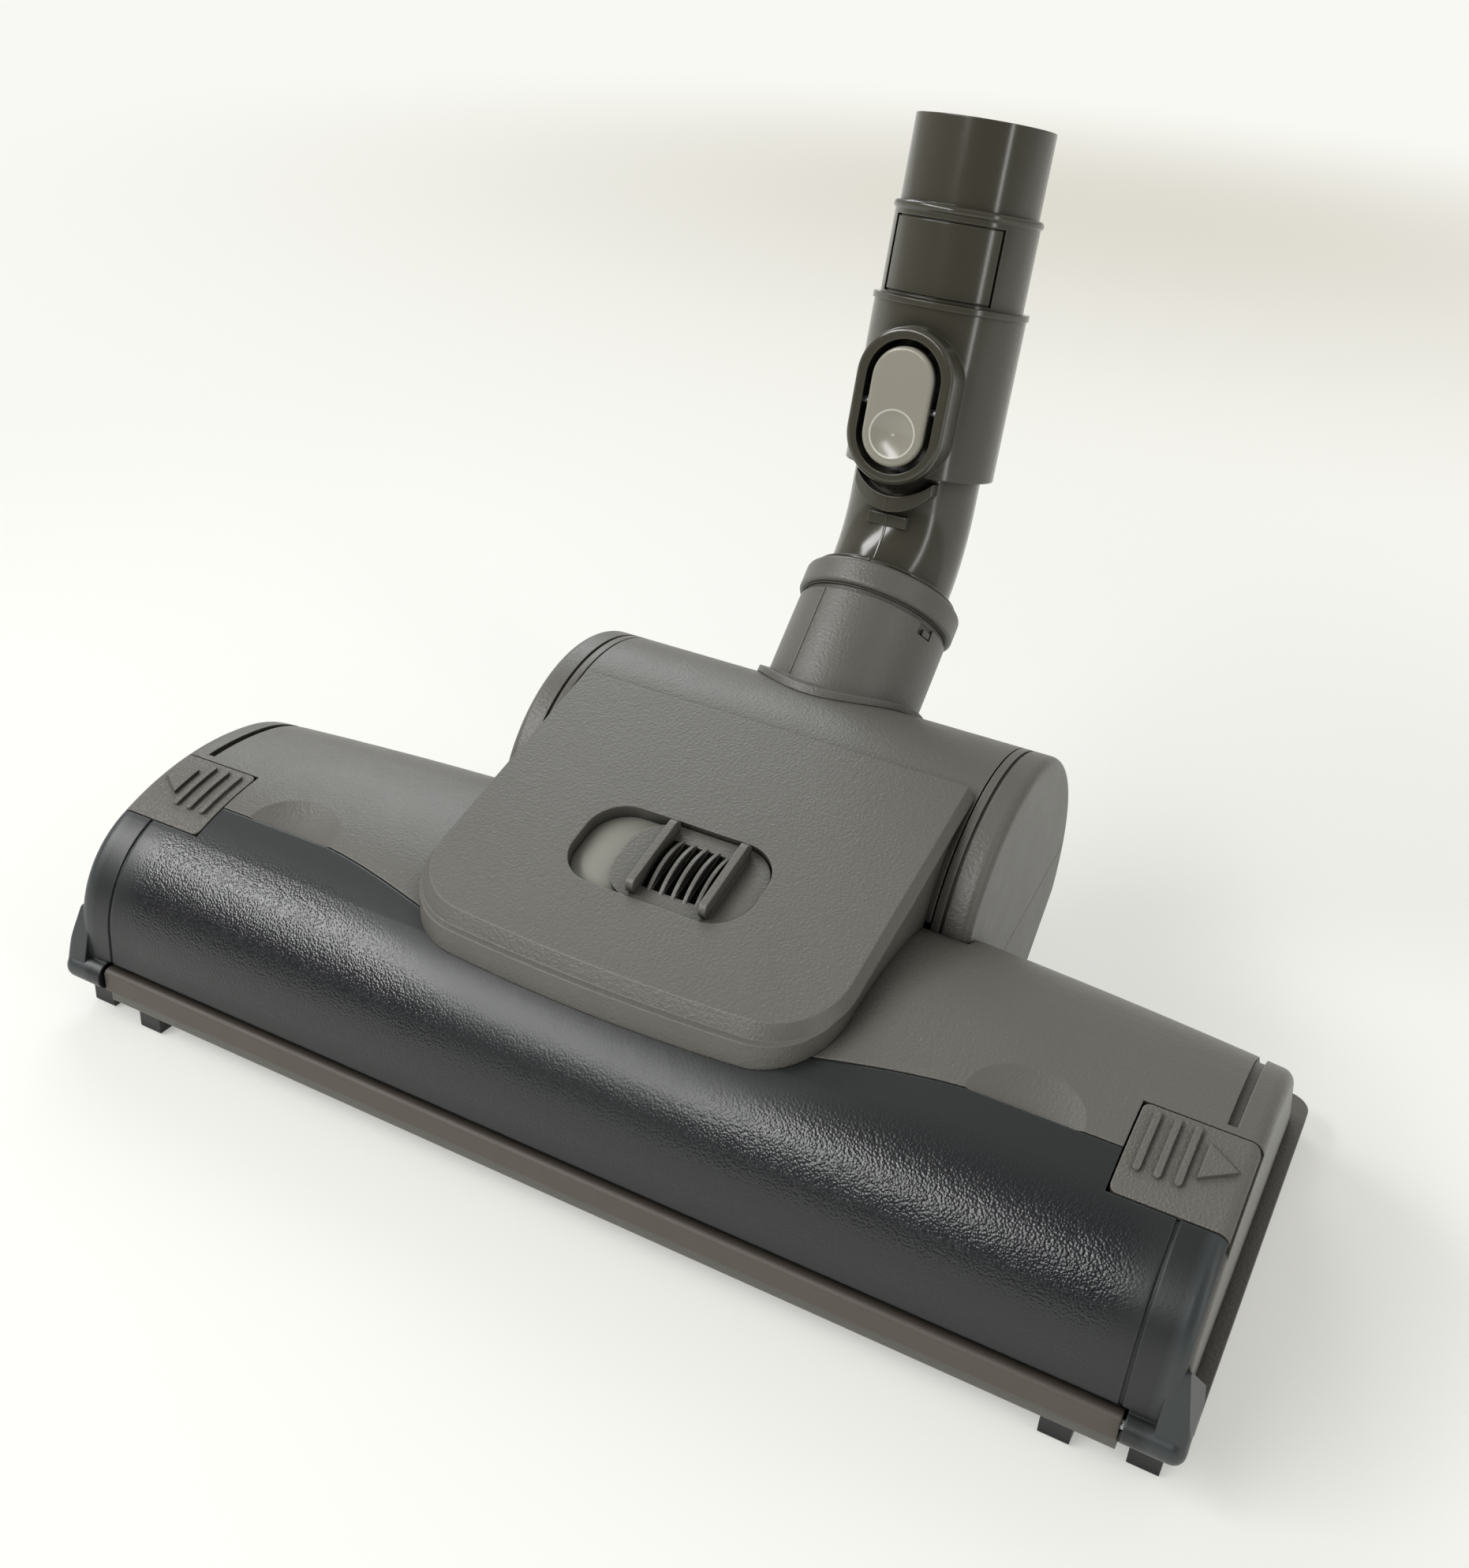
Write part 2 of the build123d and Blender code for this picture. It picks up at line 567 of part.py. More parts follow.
def knuckle_flare():
    """Swelling outside the right end cheek that blends the window's edge into its knuckle."""
    inner_x, outer_x, face_x = WINDOW_HALF - SKIN, KNUCKLE_OUT_X - SEAT, HALF_LENGTH + SEAT * 2
    rounding = THIN_WALL / 2
    corners = [(HINGE_Y, HINGE_Z, KNUCKLE_R - FLARE_SETBACK),
               (FLARE_REAR_Y - rounding, BASE_Z + SEAM + rounding, rounding),
               (FLARE_REAR_Y - rounding, HINGE_Z, rounding),
               (HINGE_Y + SKIN, FLARE_TOP_Z - rounding, rounding)]
    side = make_hull((Sketch() + [Pos(y, z) * Circle(r) for y, z, r in corners]).edges())
    flare = extrude(Plane(origin=(inner_x, 0, 0), x_dir=(0, 1, 0), z_dir=(1, 0, 0)) * side,
                    outer_x - inner_x)
    plan = make_face(Polyline((inner_x, -FAR), (outer_x, -FAR), (outer_x, FLARE_REAR_Y - FLARE_SLANT),
                              (face_x, FLARE_REAR_Y), (inner_x, FLARE_REAR_Y), close=True))
    front = make_face(Polyline((inner_x, 0), (outer_x, 0), (outer_x, HINGE_Z + KNUCKLE_R),
                               (face_x, FLARE_TOP_Z), (inner_x, FLARE_TOP_Z), close=True))
    flare &= prism_z(plan, 0, FAR)
    flare &= extrude(Plane.XZ * front, FAR, both=True)
    flare = fillet(flare.faces().sort_by(Axis.X)[-1].edges(), FLARE_ROUNDING)
    return flare - skin(SKIN, end_inset=HALF_LENGTH - face_x, base=-20.0)


def hinge_pin(grow=0.0):
    """One hinge pin of the window, from its socket behind the strip into the knuckle."""
    return rod_x(HINGE_PIN_R + grow, STRIP_HALF - PIN_OVERLAP, KNUCKLE_OUT_X - PIN_OVERLAP, HINGE_Y, HINGE_Z)


def build_bumper():
    """Soft strip with round front edges, and a socket for each hinge pin."""
    bar = slab(-STRIP_HALF, STRIP_HALF, STRIP_FACE_Y, STRIP_FACE_Y + STRIP_DEPTH, BASE_Z, STRIP_TOP_Z)
    front = bar.edges().filter_by(Axis.X).filter_by(lambda e: e.center().Y < STRIP_FACE_Y + 1)
    bar = fillet(front, STRIP_DEPTH / 2.2)
    pin = hinge_pin(PRESS)
    return bar - pin - mirrored(pin)


# Latches

def relief(outline, height):
    """A raised figure on a latch tile that follows the skin."""
    column = prism_z(outline, BASE_Z, FAR)
    return (column & skin(-height, end_inset=-SKIN)) - skin(LATCH_THICKNESS / 2, end_inset=-2 * SKIN)


def build_latch():
    """Right latch: a curved tile with ribs, an arrow and a keel that runs in the floor's slot."""
    deep = CHEEK_INSET + THIN_WALL
    plan = make_face(Polyline(
        (LATCH_IN_X, LATCH_FRONT_Y), (LATCH_OUT_X, LATCH_FRONT_Y),
        (LATCH_OUT_X, LATCH_REAR_Y), (LATCH_IN_X, LATCH_REAR_Y), close=True))
    corners = plan.vertices().filter_by(lambda v: v.X < LATCH_IN_X + 1 or v.Y > LATCH_REAR_Y - 1)
    plan = fillet(corners, LATCH_CORNER_R)
    tile = (prism_z(plan, BASE_Z, FAR) & OUTER) - skin(LATCH_THICKNESS, end_inset=-SKIN)
    for i in range(LATCH_RIBS):
        rib = Pos(LATCH_IN_X + LATCH_RIB_START + i * LATCH_RIB_PITCH, LATCH_FIGURE_Y) * Rot(0, 0, 90)
        tile += relief(rib * SlotOverall(LATCH_RIB_LENGTH, LATCH_RIB_WIDTH), LATCH_RELIEF)
    base_x = LATCH_IN_X + ARROW_START
    arrow = make_face(Polyline((base_x, LATCH_FIGURE_Y - ARROW_HALF), (base_x + ARROW_LENGTH, LATCH_FIGURE_Y),
                               (base_x, LATCH_FIGURE_Y + ARROW_HALF), close=True))
    tile += relief(arrow, LATCH_RELIEF)
    keel = slab(KEEL_X0, KEEL_X1, KEEL_Y - KEEL_HALF, KEEL_Y + KEEL_HALF, BASE_Z, FAR)
    keel = (keel & skin(LATCH_THICKNESS / 2)) - skin(deep + KEEL_FOOT, base=-20.0)
    foot = slab(KEEL_X0, KEEL_X1, KEEL_Y - 2 * KEEL_HALF, KEEL_Y + 2 * KEEL_HALF, BASE_Z, FAR)
    foot = (foot & skin(deep + CLEAR)) - skin(deep + KEEL_FOOT, base=-20.0)
    return tile + keel + foot


def coil(radius, wire, length, turns):
    """A coil spring along Z from 0."""
    path = Helix(pitch=(length - 2 * wire) / turns, height=length - 2 * wire, radius=radius)
    section = Plane(origin=path @ 0, z_dir=path % 0) * Circle(wire)
    return Pos(0, 0, wire) * sweep(section, path)


def build_latch_spring():
    """Spring between the latch's keel and the end wall."""
    start, stop = KEEL_X1 + SEAT, HALF_LENGTH - SKIN - SEAT
    spring = coil(LATCH_SPRING_R, LATCH_WIRE_R, stop - start, 4)
    return Pos(start, KEEL_Y, LATCH_SPRING_Z) * Rot(0, 90, 0) * spring


# Air slider and its seat

def build_valve_seat():
    """Plate under the slider with a row of air ports that match the slider's slots."""
    top = -RECESS_DEPTH
    seat = recess_prism(SEAT, top, top - THIN_WALL)
    for u in slot_places():
        port = Pos(u, 0, top) * Box(SLOT_WIDTH, SLOT_LENGTH, 4 * THIN_WALL)
        seat -= shield_plane() * port
    return seat


def slot_places():
    """Middle of each air slot across the head, with the slider at rest."""
    middle = RECESS_LENGTH / 2 - SEAM - SLIDER_LENGTH / 2
    count = SLIDER_RIBS + 1
    return [middle + (i - (count - 1) / 2) * RIB_PITCH for i in range(count)]


def build_slider():
    """Slider with a tall ridge at each end of a row of thin crowned ribs, and slots between them."""
    low = -RECESS_DEPTH + SEAT
    middle = RECESS_LENGTH / 2 - SEAM - SLIDER_LENGTH / 2
    width = RECESS_WIDTH - 2 * SEAM
    base = Pos(middle, 0, low) * extrude(RectangleRounded(SLIDER_LENGTH, width, RECESS_CORNER_R - SEAM),
                                         SLIDER_BASE)
    top = low + SLIDER_BASE
    for u in slot_places():
        base -= Pos(u, 0, low) * Box(SLOT_WIDTH, SLOT_LENGTH, 3 * SLIDER_BASE)
    crown = (SLOT_LENGTH / 2 + 1, RIB_HEIGHT)
    arch = make_face([ThreePointArc((-crown[0], 0), (0, crown[1]), (crown[0], 0)),
                      Line((crown[0], 0), (-crown[0], 0))])
    across = Plane(origin=(0, 0, top - 0.2), x_dir=(0, 1, 0), z_dir=(1, 0, 0))
    rib = extrude(across * arch, RIB_WIDTH / 2, both=True)
    for i in range(SLIDER_RIBS):
        base += Pos(middle + (i - (SLIDER_RIBS - 1) / 2) * RIB_PITCH, 0, 0) * rib
    ridge_face = Pos(0, RIDGE_HEIGHT / 2) * RectangleRounded(width - 2, RIDGE_HEIGHT, RIDGE_HEIGHT / 2.2)
    ridge = extrude(across * ridge_face, RIDGE_WIDTH / 2, both=True)
    for side in (-1, 1):
        base += Pos(middle + side * (SLIDER_RIBS + 1) / 2 * RIB_PITCH, 0, 0) * ridge
    return shield_plane() * base


# Swivel drum with its caps, and the lower housing

def rear_flat(inset):
    """Everything behind the flattened rear underside of the caps."""
    tilt = radians(CAP_FLAT_ANGLE)
    facing = Plane(origin=(0, CAP_FLAT_Y, CAP_FLAT_Z), x_dir=(1, 0, 0), z_dir=(0, sin(tilt), -cos(tilt)))
    return facing * Pos(0, 0, 30 - inset) * Box(2 * FAR, 2 * FAR, 60)


def cap_whole(flattened=False):
    """The right end cap as one hollow round box, before it is split along its parting seam."""
    inner_x = DRUM_HALF + SEAM
    body = rod_x(DRUM_R, inner_x, CAP_HALF, DRUM_Y, DRUM_Z)
    rim = body.edges().filter_by(lambda e: e.center().X > CAP_HALF - 0.01)
    body = fillet(rim, CAP_ROUNDING)
    hollow_x = inner_x + CAP_FLANGE
    outer_wall_x = CAP_HALF - BEARING_WIDTH
    hollow = rod_x(DRUM_R - SKIN, hollow_x, outer_wall_x, DRUM_Y, DRUM_Z)
    if flattened:
        body -= rear_flat(0)
        hollow -= rear_flat(THIN_WALL)
    body -= hollow
    body -= rod_x(TRUNNION_R + RUN, 0, hollow_x + 0.1, DRUM_Y, DRUM_Z)
    body += rod_x(BEARING_R + THIN_WALL, outer_wall_x - 1, CAP_HALF - 1, DRUM_Y, DRUM_Z)
    body -= rod_x(BEARING_R, 0, outer_wall_x + BEARING_WIDTH / 2, DRUM_Y, DRUM_Z)
    groove = pipe_x(DRUM_R + 1, DRUM_R - 0.6, hollow_x + 0.4, hollow_x + 1.2, DRUM_Y, DRUM_Z)
    return body - groove


def seam_block(upper):
    """Everything above, or below, the sloping parting seam of the caps."""
    gap = SEAT if upper else -SEAT
    lift = 100.0 if upper else -100.0
    frame = Plane(origin=(0, DRUM_Y, DRUM_Z), x_dir=(1, 0, 0),
                  z_dir=(0, -sin(radians(CAP_SEAM_ANGLE)), cos(radians(CAP_SEAM_ANGLE))))
    return frame * Pos(0, 0, lift + gap - CAP_SEAM_DROP) * Box(2 * FAR, 2 * FAR, 200)


def belt_slot():
    """Room for the belt through the cap's rim and the walls ahead of it."""
    half = BELT_WIDTH / 2 + 2 * CLEAR
    return belt_loop(-4.0, 6.0, BELT_X - half, BELT_X + half)


def belt_loop(inner, outer, x0, x1):
    """Closed band round both pulleys between two offsets from their tips, or solid if inner < 0."""
    outline = make_hull(belt_circles(outer).edges())
    if inner > 0:
        outline -= make_hull(belt_circles(inner).edges())
    plane = Plane(origin=(x0, 0, 0), x_dir=(0, 1, 0), z_dir=(1, 0, 0))
    return extrude(plane * outline, x1 - x0)


def belt_circles(grow):
    """The two pulleys' circles in the belt's plane, grown by an offset."""
    brush = Pos(BRUSH_Y, BRUSH_Z) * Circle(pulley_radius(BRUSH_TEETH) + grow)
    rotor = Pos(DRUM_Y, DRUM_Z) * Circle(pulley_radius(ROTOR_TEETH) + grow)
    return Sketch() + [brush, rotor]


def pulley_radius(teeth):
    return teeth * TOOTH_PITCH / (2 * pi)


def build_cap(side):
    """Upper half of one end cap."""
    cap = cap_whole() & seam_block(True)
    if side < 0:
        cap = mirrored(cap) - belt_slot()
    return cap


def lower_cap():
    """Lower half of the right end cap, flattened at the rear underside."""
    cap = cap_whole(flattened=True) & seam_block(False)
    return cap - slab(0, FAR, 0, FAR, -FAR, SOLE_Z + SEAM)


def build_lower_housing():
    """Inner tray: base, chamber walls, bush cradles, the trough under the drum and the lower caps."""
    room = skin(SKIN + CLEAR, base=BASE_Z)
    wall_room = skin(SKIN + 2 * SEAM, base=BASE_Z)
    tray = room & slab(-FAR, FAR, STRIP_FACE_Y + STRIP_DEPTH, FAR, BASE_Z, BASE_Z + THIN_WALL)
    tray -= prism_z(brush_opening(), -FAR, FAR)
    rear = CHAMBER_REAR_Y
    half = CHAMBER_HALF + BUSH_WIDTH + THIN_WALL
    front_y = STRIP_FACE_Y + STRIP_DEPTH + SEAT
    walls = slab(-half, half, rear, rear + THIN_WALL, BASE_Z, FAR)
    for side in (-1, 1):
        x0, x1 = sorted((side * (half - THIN_WALL), side * half))
        walls += slab(x0, x1, front_y, rear + THIN_WALL, BASE_Z, SIDE_WALL_TOP_Z)
    tray += walls & wall_room
    tray += slab(-STRIP_HALF + 1, STRIP_HALF - 1, front_y, front_y + SKIN, BASE_Z, STRIP_TOP_Z)
    block = slab(CHAMBER_HALF, CHAMBER_HALF + BUSH_WIDTH, BRUSH_Y - 8, BRUSH_Y + 8, BASE_Z, BRUSH_Z)
    tray += block + mirrored(block)
    tray -= rod_x(BUSH_R, -CHAMBER_HALF - BUSH_WIDTH, CHAMBER_HALF + BUSH_WIDTH, BRUSH_Y, BRUSH_Z) - \
        slab(-CHAMBER_HALF, CHAMBER_HALF, -FAR, FAR, -FAR, FAR)
    tray -= slab(-PORT_HALF, PORT_HALF, rear - 1, rear + THIN_WALL + 1, PORT_BASE_Z, PORT_TOP_Z)
    for x, y in SCREW_SPOTS:
        tray += Pos(x, y, (BASE_Z + BOSS_Z) / 2) * Cylinder(SCREW_BOSS_R, BOSS_Z - BASE_Z)
        tray -= Pos(x, y, BASE_Z) * Cylinder(SCREW_R + SEAT, 40)
    tray -= slab(-CAP_HALF - SEAT, CAP_HALF + SEAT, DRUM_Y - TROUGH_R / 2, FAR, 0, FAR)
    bay = rod_x(DRUM_R + SEAM, -CAP_HALF - SEAT, CAP_HALF + SEAT, DRUM_Y, DRUM_Z)
    tray -= bay & seam_block(True)
    tray -= rod_x(DRUM_R + SEAM, -DRUM_HALF - SEAM, DRUM_HALF + SEAM, DRUM_Y, DRUM_Z)
    tray += trough()
    cap = lower_cap()
    tray += cap + mirrored(cap)
    for side in (-1, 1):
        x0, x1 = sorted((side * (WHEEL_X - WHEEL_WIDTH), side * (WHEEL_X + WHEEL_WIDTH)))
        tray -= slab(x0, x1, WHEEL_Y - WHEEL_R - 3, WHEEL_Y + WHEEL_R + 3, 0, 30)
    swing_room = rod_x(KNUCKLE_R + 4 * CLEAR, STRIP_HALF - SEAM, FAR, HINGE_Y, HINGE_Z)
    for cut in (hinge_pin(PRESS), swing_room):
        tray -= cut
        tray -= mirrored(cut)
    return tray - belt_slot()


def trough():
    """Curved floor under the drum: inside its shell at the rear, full width lower down."""
    ring = pipe_x(TROUGH_R, TROUGH_R - DRUM_WALL, -WEB_X + SEAM, WEB_X - SEAM, DRUM_Y, DRUM_Z)
    wide = pipe_x(TROUGH_R, TROUGH_R - DRUM_WALL, -CAP_HALF + 2, CAP_HALF - 2, DRUM_Y, DRUM_Z)
    floor = ring & drum_wedge(TROUGH_FRONT, TROUGH_TOP, FAR)
    floor += wide & drum_wedge(TROUGH_FRONT, TROUGH_WIDE_END, FAR)
    apron_y = DRUM_Y + TROUGH_R * cos(radians(TROUGH_FRONT))
    apron_z = DRUM_Z + TROUGH_R * sin(radians(TROUGH_FRONT))
    apron = slab(-DRUM_HALF, DRUM_HALF, CHAMBER_REAR_Y, apron_y + 2, apron_z, apron_z + THIN_WALL)
    return floor + apron - rod_x(TROUGH_R - DRUM_WALL, -100, 100, DRUM_Y, DRUM_Z)


def build_drum():
    """Round shell with two webs and hollow trunnions that run in the caps."""
    arc = drum_wedge(DRUM_REAR_EDGE, DRUM_FRONT_EDGE, FAR)
    shell = pipe_x(DRUM_R, DRUM_R - DRUM_WALL, -DRUM_HALF, DRUM_HALF, DRUM_Y, DRUM_Z) & arc
    for side in (-1, 1):
        x0, x1 = sorted((side * WEB_X, side * (WEB_X + DRUM_WALL)))
        shell += rod_x(DRUM_R - 1, x0, x1, DRUM_Y, DRUM_Z) & arc
        shell += rod_x(TROUGH_R - DRUM_WALL - SEAM, x0, x1, DRUM_Y, DRUM_Z)
        x0, x1 = sorted((side * WEB_X, side * (DRUM_HALF + SEAM + CAP_FLANGE)))
        shell += rod_x(TRUNNION_R, x0, x1, DRUM_Y, DRUM_Z)
    shell -= rod_x(TRUNNION_BORE, -100, 100, DRUM_Y, DRUM_Z)
    return shell - neck_rod(NECK_R + SEAT, 0, 60)


# Turbine and belt

def build_rotor():
    """Air wheel: curved blades between a hub and two discs."""
    inner, mid, outer = ROTOR_HUB_R, (ROTOR_HUB_R + ROTOR_R) / 2, ROTOR_R
    turn = degrees(THIN_WALL / outer)
    centre = (DRUM_Y, DRUM_Z)
    low = [on_circle(centre, inner, 0), on_circle(centre, mid, 16), on_circle(centre, outer, 44)]
    high = [on_circle(centre, inner, 3 * turn), on_circle(centre, mid, 16 + 1.6 * turn),
            on_circle(centre, outer, 44 + turn)]
    blade = make_face([ThreePointArc(*low), Line(low[2], high[2]), ThreePointArc(*high[::-1]),
                       Line(high[0], low[0])])
    blade = extrude(Plane.YZ * blade, ROTOR_HALF, both=True)
    wheel = rod_x(inner + 0.5, -ROTOR_HALF, ROTOR_HALF, DRUM_Y, DRUM_Z)
    axis = Axis((0, DRUM_Y, DRUM_Z), (1, 0, 0))
    for i in range(ROTOR_BLADES):
        wheel += blade.rotate(axis, 360 * i / ROTOR_BLADES)
    for x in (-ROTOR_HALF, 0, ROTOR_HALF):
        wheel += rod_x(outer, x - THIN_WALL / 2, x + THIN_WALL / 2, DRUM_Y, DRUM_Z)
    return wheel - rod_x(SHAFT_R + PRESS, -100, 100, DRUM_Y, DRUM_Z)


def build_pulley(teeth, y, z, bore):
    """Toothed belt pulley with a round groove between teeth."""
    radius = pulley_radius(teeth)
    half = BELT_WIDTH / 2
    wheel = pipe_x(radius, bore, BELT_X - half, BELT_X + half, y, z)
    for i in range(teeth):
        groove = on_circle((y, z), radius + TOOTH_DEPTH / 4, 360 * i / teeth)
        wheel -= rod_x(TOOTH_DEPTH, BELT_X - half - 1, BELT_X + half + 1, *groove)
    return wheel


def build_belt():
    """Drive belt as one closed band that clears both pulleys."""
    half = BELT_WIDTH / 2
    return belt_loop(CLEAR, CLEAR + BELT_THICKNESS, BELT_X - half, BELT_X + half)


# Brush

def build_brush_bar():
    """Turned core with end stubs and a neck where the pulley sits."""
    core = rod_x(CORE_R, -BRUSH_HALF, BRUSH_HALF, BRUSH_Y, BRUSH_Z)
    end = CHAMBER_HALF + BUSH_WIDTH - SEAT
    core += rod_x(STUB_R, -end, end, BRUSH_Y, BRUSH_Z)
    seat = BELT_WIDTH / 2 + SEAT
    core -= pipe_x(CORE_R + 1, PULLEY_SEAT_R, BELT_X - seat, BELT_X + seat, BRUSH_Y, BRUSH_Z)
    return core


def build_bristles():
    """Tufts in helical rows round the core, with a gap at the belt."""
    tufts = []
    reach = BRUSH_HALF - 2 * TUFT_R
    sunk = 0.6
    tuft = extrude(RegularPolygon(TUFT_R * 0.75, 6), BRISTLE_R - CORE_R + sunk, taper=-2.0)
    shape = Pos(0, 0, -sunk) * tuft
    shape -= rod_x(CORE_R, -TUFT_R * 2, TUFT_R * 2, 0, -CORE_R)
    for row in range(BRISTLE_ROWS):
        for i in range(TUFTS_PER_ROW):
            x = -reach + 2 * reach * i / (TUFTS_PER_ROW - 1)
            angle = 360 * row / BRISTLE_ROWS + ROW_TWIST * x / (2 * reach)
            if abs(x - BELT_X) > BELT_WIDTH / 2 + 2 * TUFT_R:
                tufts.append(Pos(x, BRUSH_Y, BRUSH_Z) * Rot(angle, 0, 0) * Pos(0, 0, CORE_R) * shape)
    return Compound(children=tufts)


def build_bush():
    """Right end bearing of the brush."""
    return pipe_x(BUSH_R, STUB_R + RUN, CHAMBER_HALF, CHAMBER_HALF + BUSH_WIDTH, BRUSH_Y, BRUSH_Z)


# Neck, elbow and adaptor

NECK_DIR = Vector(0, cos(radians(NECK_ANGLE)), sin(radians(NECK_ANGLE)))
UPPER_ANGLE = NECK_ANGLE + BEND_ANGLE
UPPER_DIR = Vector(0, cos(radians(UPPER_ANGLE)), sin(radians(UPPER_ANGLE)))
NECK_PLANE = Plane(origin=(0, DRUM_Y, DRUM_Z), x_dir=(1, 0, 0), z_dir=NECK_DIR)
BEND_POINT = Vector(0, DRUM_Y, DRUM_Z) + NECK_DIR * BEND_AT
UPPER_PLANE = Plane(origin=BEND_POINT, x_dir=(1, 0, 0), z_dir=UPPER_DIR)
UPRIGHT = (Align.CENTER, Align.CENTER, Align.MIN)


def neck_rod(radius, start, end):
    """A cylinder along the lower neck between two distances from the drum's axis."""
    return NECK_PLANE * Pos(0, 0, start) * Cylinder(radius, end - start, align=UPRIGHT)


def upper_rod(radius, start, end):
    """A cylinder along the upper axis between two distances from the bend."""
    return UPPER_PLANE * Pos(0, 0, start) * Cylinder(radius, end - start, align=UPRIGHT)


def front_plane(depth, height):
    """Plane that faces forward off the upper tube: local X across, local Y up the tube."""
    ahead = Vector(0, -sin(radians(UPPER_ANGLE)), cos(radians(UPPER_ANGLE)))
    return Plane(origin=BEND_POINT + UPPER_DIR * height + ahead * depth, x_dir=(1, 0, 0), z_dir=ahead)


def front_block(width, height, deep, proud, at):
    """A block on the front of the upper tube, between two distances from its axis."""
    block = Box(width, height, proud - deep, align=UPRIGHT)
    return front_plane(deep, at) * block


def front_slot(length, width, deep, proud, at):
    """A straight-sided oval on the front of the upper tube, long along it."""
    face = Rot(0, 0, 90) * SlotOverall(length, width)
    return front_plane(deep, at) * extrude(face, proud - deep)


def build_neck():
    """Lower neck with its saddle lip on the drum and a raised mould seam."""
    tube = neck_rod(NECK_R, 10, NECK_END) + neck_rod(NECK_R - 1, NECK_END - 1, COLLAR_END - THIN_WALL)
    lip = neck_rod(LIP_R, 10, NECK_END)
    lip &= pipe_x(DRUM_R + SEAT + LIP_THICKNESS, DRUM_R + SEAT, -DRUM_HALF, DRUM_HALF, DRUM_Y, DRUM_Z)
    ridge_start, ridge_end = DRUM_R - 2.0, NECK_END - 1.8
    ridge = NECK_PLANE * Rot(0, 0, MOULD_SEAM_ANGLE) * Pos(0, -NECK_R, ridge_start)
    tube += ridge * Box(0.5, 0.5, ridge_end - ridge_start, align=UPRIGHT)
    tube += lip
    tube -= neck_rod(NECK_BORE, 0, 100)
    groove = neck_rod(NECK_R + 1, NECK_END - 1.6, NECK_END - 0.2) - neck_rod(NECK_R - 0.7, 0, 100)
    tube -= groove + rod_x(DRUM_R - DRUM_WALL, -DRUM_HALF, DRUM_HALF, DRUM_Y, DRUM_Z)
    catch = NECK_PLANE * Rot(0, 0, CATCH_ANGLE) * Pos(0, -NECK_R, NECK_END - THIN_WALL - CATCH_HEIGHT)
    tube -= catch * Box(CATCH_WIDTH, 2 * CATCH_DEPTH, CATCH_HEIGHT, align=UPRIGHT)
    tongue = Box(CATCH_WIDTH / 2, 2 * CATCH_DEPTH, CATCH_HEIGHT / 2, align=UPRIGHT)
    return tube + catch * Pos(2 * CLEAR, CATCH_DEPTH, CLEAR) * tongue


def build_collar():
    """Ring pressed on the neck, with an inner lip that holds the elbow."""
    ring = neck_rod(COLLAR_R, NECK_END + SEAT, COLLAR_END)
    ring = fillet(ring.edges().filter_by(GeomType.CIRCLE), 1.2)
    ring -= neck_rod(NECK_R - 1 + PRESS, 0, COLLAR_END - THIN_WALL + SEAT)
    return ring - neck_rod(ELBOW_R + RUN, 0, 100)


def build_seal():
    """Felt ring between the elbow and the neck."""
    return neck_rod(NECK_BORE - SEAT, NECK_END + 1, NECK_END + 5) - neck_rod(ELBOW_R + CLEAR, 0, 100)


def elbow_path():
    """Centre line of the elbow: straight, one arc, straight."""
    trim = BEND_R * tan(radians(BEND_ANGLE / 2))
    start = Vector(0, DRUM_Y, DRUM_Z) + NECK_DIR * ELBOW_START
    arc_start = BEND_POINT - NECK_DIR * trim
    arc_end = BEND_POINT + UPPER_DIR * trim
    end = BEND_POINT + UPPER_DIR * SPIGOT_END
    bend = TangentArc(arc_start, arc_end, tangent=NECK_DIR)
    return Wire([Line(start, arc_start), bend, Line(arc_end, end)])


def build_elbow():
    """Glossy bent pipe with a retaining flange, a spigot with a catch notch, and a crescent lip."""
    path = elbow_path()
    section = Plane(origin=path @ 0, x_dir=(1, 0, 0), z_dir=NECK_DIR)
    pipe = sweep(section * Circle(ELBOW_R), path)
    pipe += neck_rod(NECK_BORE - CLEAR, ELBOW_START, ELBOW_START + 3)
    flange = neck_rod(FLANGE_R, COLLAR_END + CLEAR, COLLAR_END + CLEAR + FLANGE_THICKNESS)
    pipe += fillet(flange.edges().filter_by(GeomType.CIRCLE), FLANGE_THICKNESS / 3)
    pipe += catch_lip()
    pipe += front_block(CRESCENT_HALF, 3, ELBOW_R - 2, ELBOW_R + 0.7, CRESCENT_FOOT - 2.5)
    pipe -= sweep(section * Circle(ELBOW_BORE), path)
    return pipe - front_block(HOOK_WIDTH + 1, HOOK_HEIGHT + 2, HOOK_DEPTH - SEAM, 30, HOOK_AT)


def catch_lip():
    """Crescent lip under the button's boss, hollowed along the boss's lower end."""
    outer = Pos(0, CRESCENT_FOOT + CRESCENT_OUTER_R) * Circle(CRESCENT_OUTER_R)
    outer &= Pos(0, CRESCENT_FOOT) * Rectangle(2 * CRESCENT_HALF, 2 * CRESCENT_HALF)
    hollow = Pos(0, CRESCENT_AT + CRESCENT_HOLLOW_R) * Circle(CRESCENT_HOLLOW_R)
    lip = front_plane(ELBOW_BORE / 2, 0) * extrude(outer - hollow, CRESCENT_PROUD_R)
    return lip & upper_rod(CRESCENT_PROUD_R, 0, SLEEVE_START)


